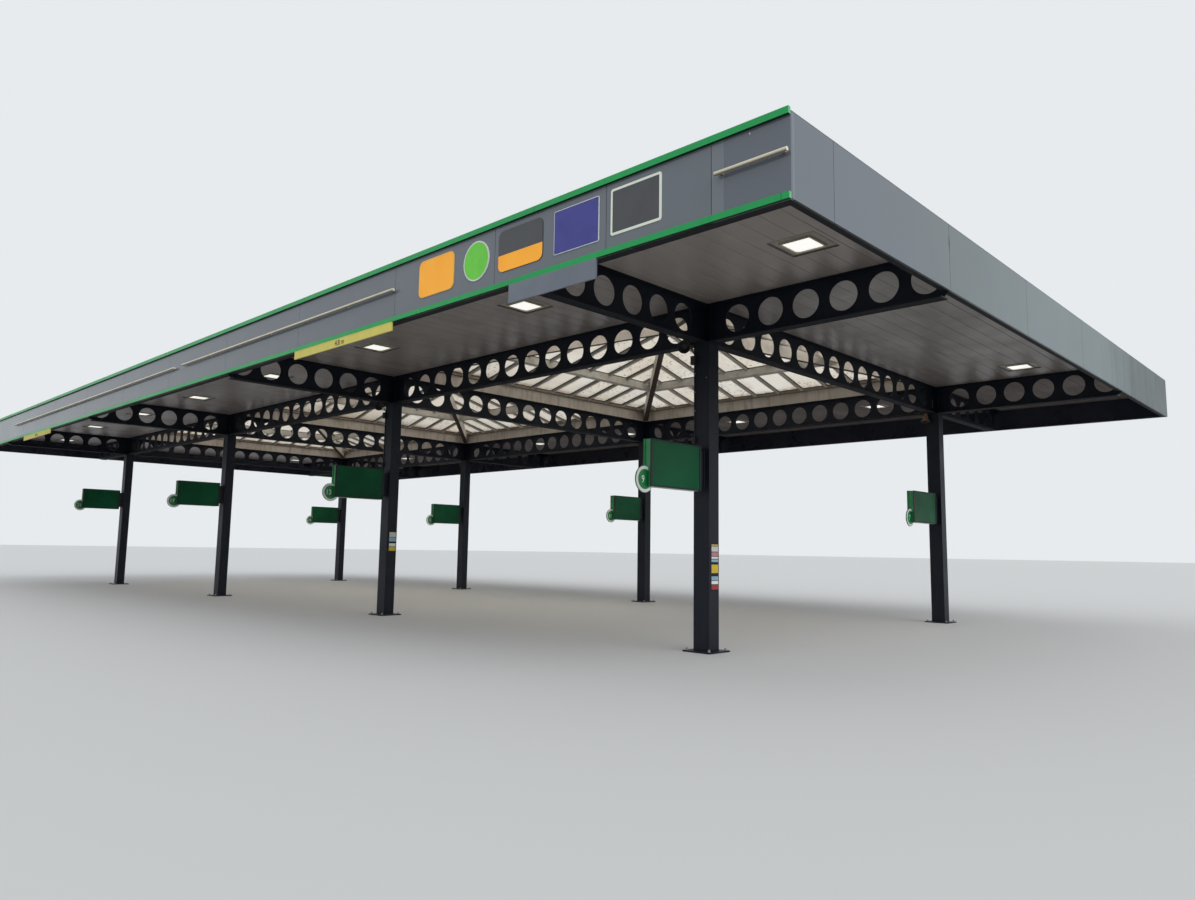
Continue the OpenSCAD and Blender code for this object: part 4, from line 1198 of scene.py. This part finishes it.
# Radius, sides, foot and head of a washer, a nut and a bolt's end
NUT_STACK = ((0.023, 20, 0.0, 0.004), (0.0208, 6, 0.004, 0.023), (0.012, 16, 0.023, 0.037))
nuts = Shapes()
for x in column_xs:
    for y in rows.values():
        for sx in (-1, 1):
            for sy in (-1, 1):
                place = Matrix.Translation((x + sx * BOLT_HALF, y + sy * BOLT_HALF, PLATE_TOP))
                for r, sides, foot, head in NUT_STACK:
                    nuts.prism(circle(r, sides), foot, head, "z", 0, place)
        ring = [(x + sx * (COLUMN_W / 2 + out), y + sy * (COLUMN_D / 2 + out), PLATE_TOP + z)
                for out, z in ((WELD, 0.0), (0.0, WELD))
                for sx, sy in ((-1, -1), (1, -1), (1, 1), (-1, 1))]
        nuts.put(ring, [(k, (k + 1) % 4, 4 + (k + 1) % 4, 4 + k) for k in range(4)], 1)
nuts.make("anchor_nuts", [GALV, STEEL])

# %% [markdown]
# ## Cables and boxes on the columns
# A black cable runs down from the horn at two front columns, through a small box, to the sign. A
# pale conduit bends over the beam at the column behind, and clips hold a cable along the foot of
# the back beam.

# %% Column fittings
CABLE_R, CONDUIT_R, THIN_CABLE_R = 0.009, 0.008, 0.006
CLIP_HEIGHTS = (4.55, 4.35, 4.05, 3.75)
BEAM_CLIPS = (8.12, 9.02, 9.91, 10.83, 11.72, 12.63, 13.18)
fittings = Shapes()
front_side, beam_side = rows["front"] - COLUMN_D / 2, rows["back"] - FLANGE_HALF
head = beam_under - 0.05
for i in (3, 2):
    x, y = column_xs[i] - COLUMN_W / 2 + 0.02, front_side - CABLE_R
    foot = SIGN_FEET["front"][i] + SIGN_H * 0.85
    drop = head - 0.14
    fittings.tube([(x - 0.06, y - 0.06, head), (x - 0.03, y - 0.03, head - 0.05), (x, y, drop),
                   *((x, y, drop - (drop - foot) * k / 6) for k in range(1, 7))], CABLE_R, 0)
    for z in CLIP_HEIGHTS:
        fittings.box((x - 0.016, y - 0.013, z), (x + 0.016, y + CABLE_R, z + 0.012), 1)
    fittings.box((x - 0.045, y - 0.052, 4.50), (x + 0.035, y + CABLE_R, 4.64))
    fittings.box((x - 0.030, y - 0.040, foot + 0.18), (x + 0.030, y + CABLE_R, foot + 0.27))
fittings.prism(circle(0.010, 12), front_side - 0.003, front_side, "y", 1,
               Matrix.Translation((column_xs[3] + 0.098, 0, 4.27)))
x = column_xs[3] - 0.02
bend = [(x, rows["back"] - 0.03, steel_top - 0.12), (x, rows["back"] - 0.07, steel_top - 0.16)]
bend += [(x + 0.03 * math.sin(k / 6 * math.pi), beam_side - 0.010, steel_top - 0.20 - 0.07 * k)
         for k in range(7)]
fittings.tube(bend, CONDUIT_R, 2)
for x in BEAM_CLIPS:
    fittings.box((x - 0.012, beam_side - 0.006, beam_under),
                 (x + 0.012, beam_side + 0.010, beam_under + 0.05))
fittings.tube([(8.0 + 0.52 * k, beam_side - 0.008, beam_under + 0.030 + 0.004 * (k % 2))
               for k in range(11)], THIN_CABLE_R, 0, 6)
fittings.make("column_fittings", [BLACK, GALV, CONDUIT])

# %% [markdown]
# Two columns carry a stack of small stuck-on plates. Their corners are round and their colours
# plain, and a table gives the height and colour of each from the lowest up, or none for a gap.

# %% Column labels
LABEL_W, LABEL_T, LABEL_GAP, LABEL_CORNER = 0.17, 0.0015, 0.010, 0.006
LABEL_PAINTS = [plain("label " + word, base, worn, scale=8.0) for word, base, worn in (
    ("pink", (206, 134, 146), (196, 126, 138)), ("pale blue", (150, 190, 214), (140, 180, 204)),
    ("yellow", (226, 196, 44), (214, 184, 44)), ("white", (216, 216, 212), (204, 204, 198)),
    ("red", (178, 48, 44), (166, 44, 42)))]
LABEL_STACKS = (
    (3, 0.95, ((0.08, 5), (0.06, 0), (0.07, 2), (0.04, None), (0.14, 3), (0.03, None), (0.05, 2),
               (0.04, 0), (0.07, 1), (0.09, 4), (0.03, 3))),
    (2, 1.44, ((0.10, 3), (0.08, 0), (0.03, None), (0.10, 2), (0.12, 4))),
)
labels = Shapes()
for i, z, stack in LABEL_STACKS:
    for high, paint in stack:
        if paint is not None:
            place = (column_xs[i] + COLUMN_W / 2, rows["front"] + 0.02, z + high / 2)
            outline = rounded(LABEL_W, high - LABEL_GAP, LABEL_CORNER, 3)
            labels.prism(outline, 0.0, LABEL_T, "x", paint, Matrix.Translation(place))
        z += high
labels.make("column_labels", [WHITE, *LABEL_PAINTS])

# %% [markdown]
# ## Studio
# A pale floor, a pale surround and soft light from above and from the right. The world shows its
# pale colour to the camera, in mirrors and through glass, and gives the object a plain, even
# light. The floor does the same, so what it throws back on the object stays level.

# %% Floor, world and sun
FLOOR_REACH, FLOOR_BOUNCE = 400, (150, 149, 147)
WORLD_LIGHT, WORLD_STRENGTH, WORLD_SEEN = (0.93, 0.96, 1.0, 1.0), 0.72, (0.80, 0.83, 0.85, 1.0)
SUN_STRENGTH, SUN_SOFTNESS, SUN_FROM = 1.35, 50, (0.85, -0.12, 0.62)


def looked_at(tree):
    """1 for what is seen straight, in a mirror or through glass, and 0 for light on the object"""
    path = add(tree, "LightPath").outputs
    return calc(tree, "MAXIMUM", path["Is Camera Ray"],
                calc(tree, "MAXIMUM", path["Is Glossy Ray"], path["Is Transmission Ray"]))


mesh = bpy.data.meshes.new("floor")
mesh.from_pydata([(x, y, 0) for x, y in ((-FLOOR_REACH, -FLOOR_REACH), (FLOOR_REACH, -FLOOR_REACH),
                                         (FLOOR_REACH, FLOOR_REACH), (-FLOOR_REACH, FLOOR_REACH))],
                 [], [(0, 1, 2, 3)])
stage = show("floor", mesh)
material, tree, shader = new_material("studio floor")
tone = add(tree, "TexNoise", Scale=0.4, Detail=3.0).outputs["Fac"]
pale = mix(tree, tone, colour((205, 206, 206)), colour((214, 214, 212)))
tree.links.new(mix(tree, looked_at(tree), colour(FLOOR_BOUNCE), pale), shader.inputs["Base Color"])
shader.inputs["Roughness"].default_value = 0.9
mesh.materials.append(material)

world = bpy.data.worlds.new("studio")
bpy.context.scene.world = world
world.use_nodes = True
tree = world.node_tree
light = tree.nodes["Background"]
light.inputs["Color"].default_value = WORLD_LIGHT
light.inputs["Strength"].default_value = WORLD_STRENGTH
seen = add(tree, "Background", Color=WORLD_SEEN, Strength=1.0)
blend = add(tree, "MixShader", i0=looked_at(tree), i1=light.outputs[0], i2=seen.outputs[0])
tree.links.new(blend.outputs[0], tree.nodes["World Output"].inputs["Surface"])

sun = show("soft sun", bpy.data.lights.new("soft sun", "SUN"))
sun.data.energy = SUN_STRENGTH
sun.data.angle = math.radians(SUN_SOFTNESS)
turn = Vector(SUN_FROM).to_track_quat("Z", "Y").to_matrix().to_4x4()
sun.matrix_world = Matrix.Translation((40, -8, 30)) @ turn
bpy.context.scene.view_settings.view_transform = "Standard"
print("sun", SUN_STRENGTH, "world", WORLD_STRENGTH)
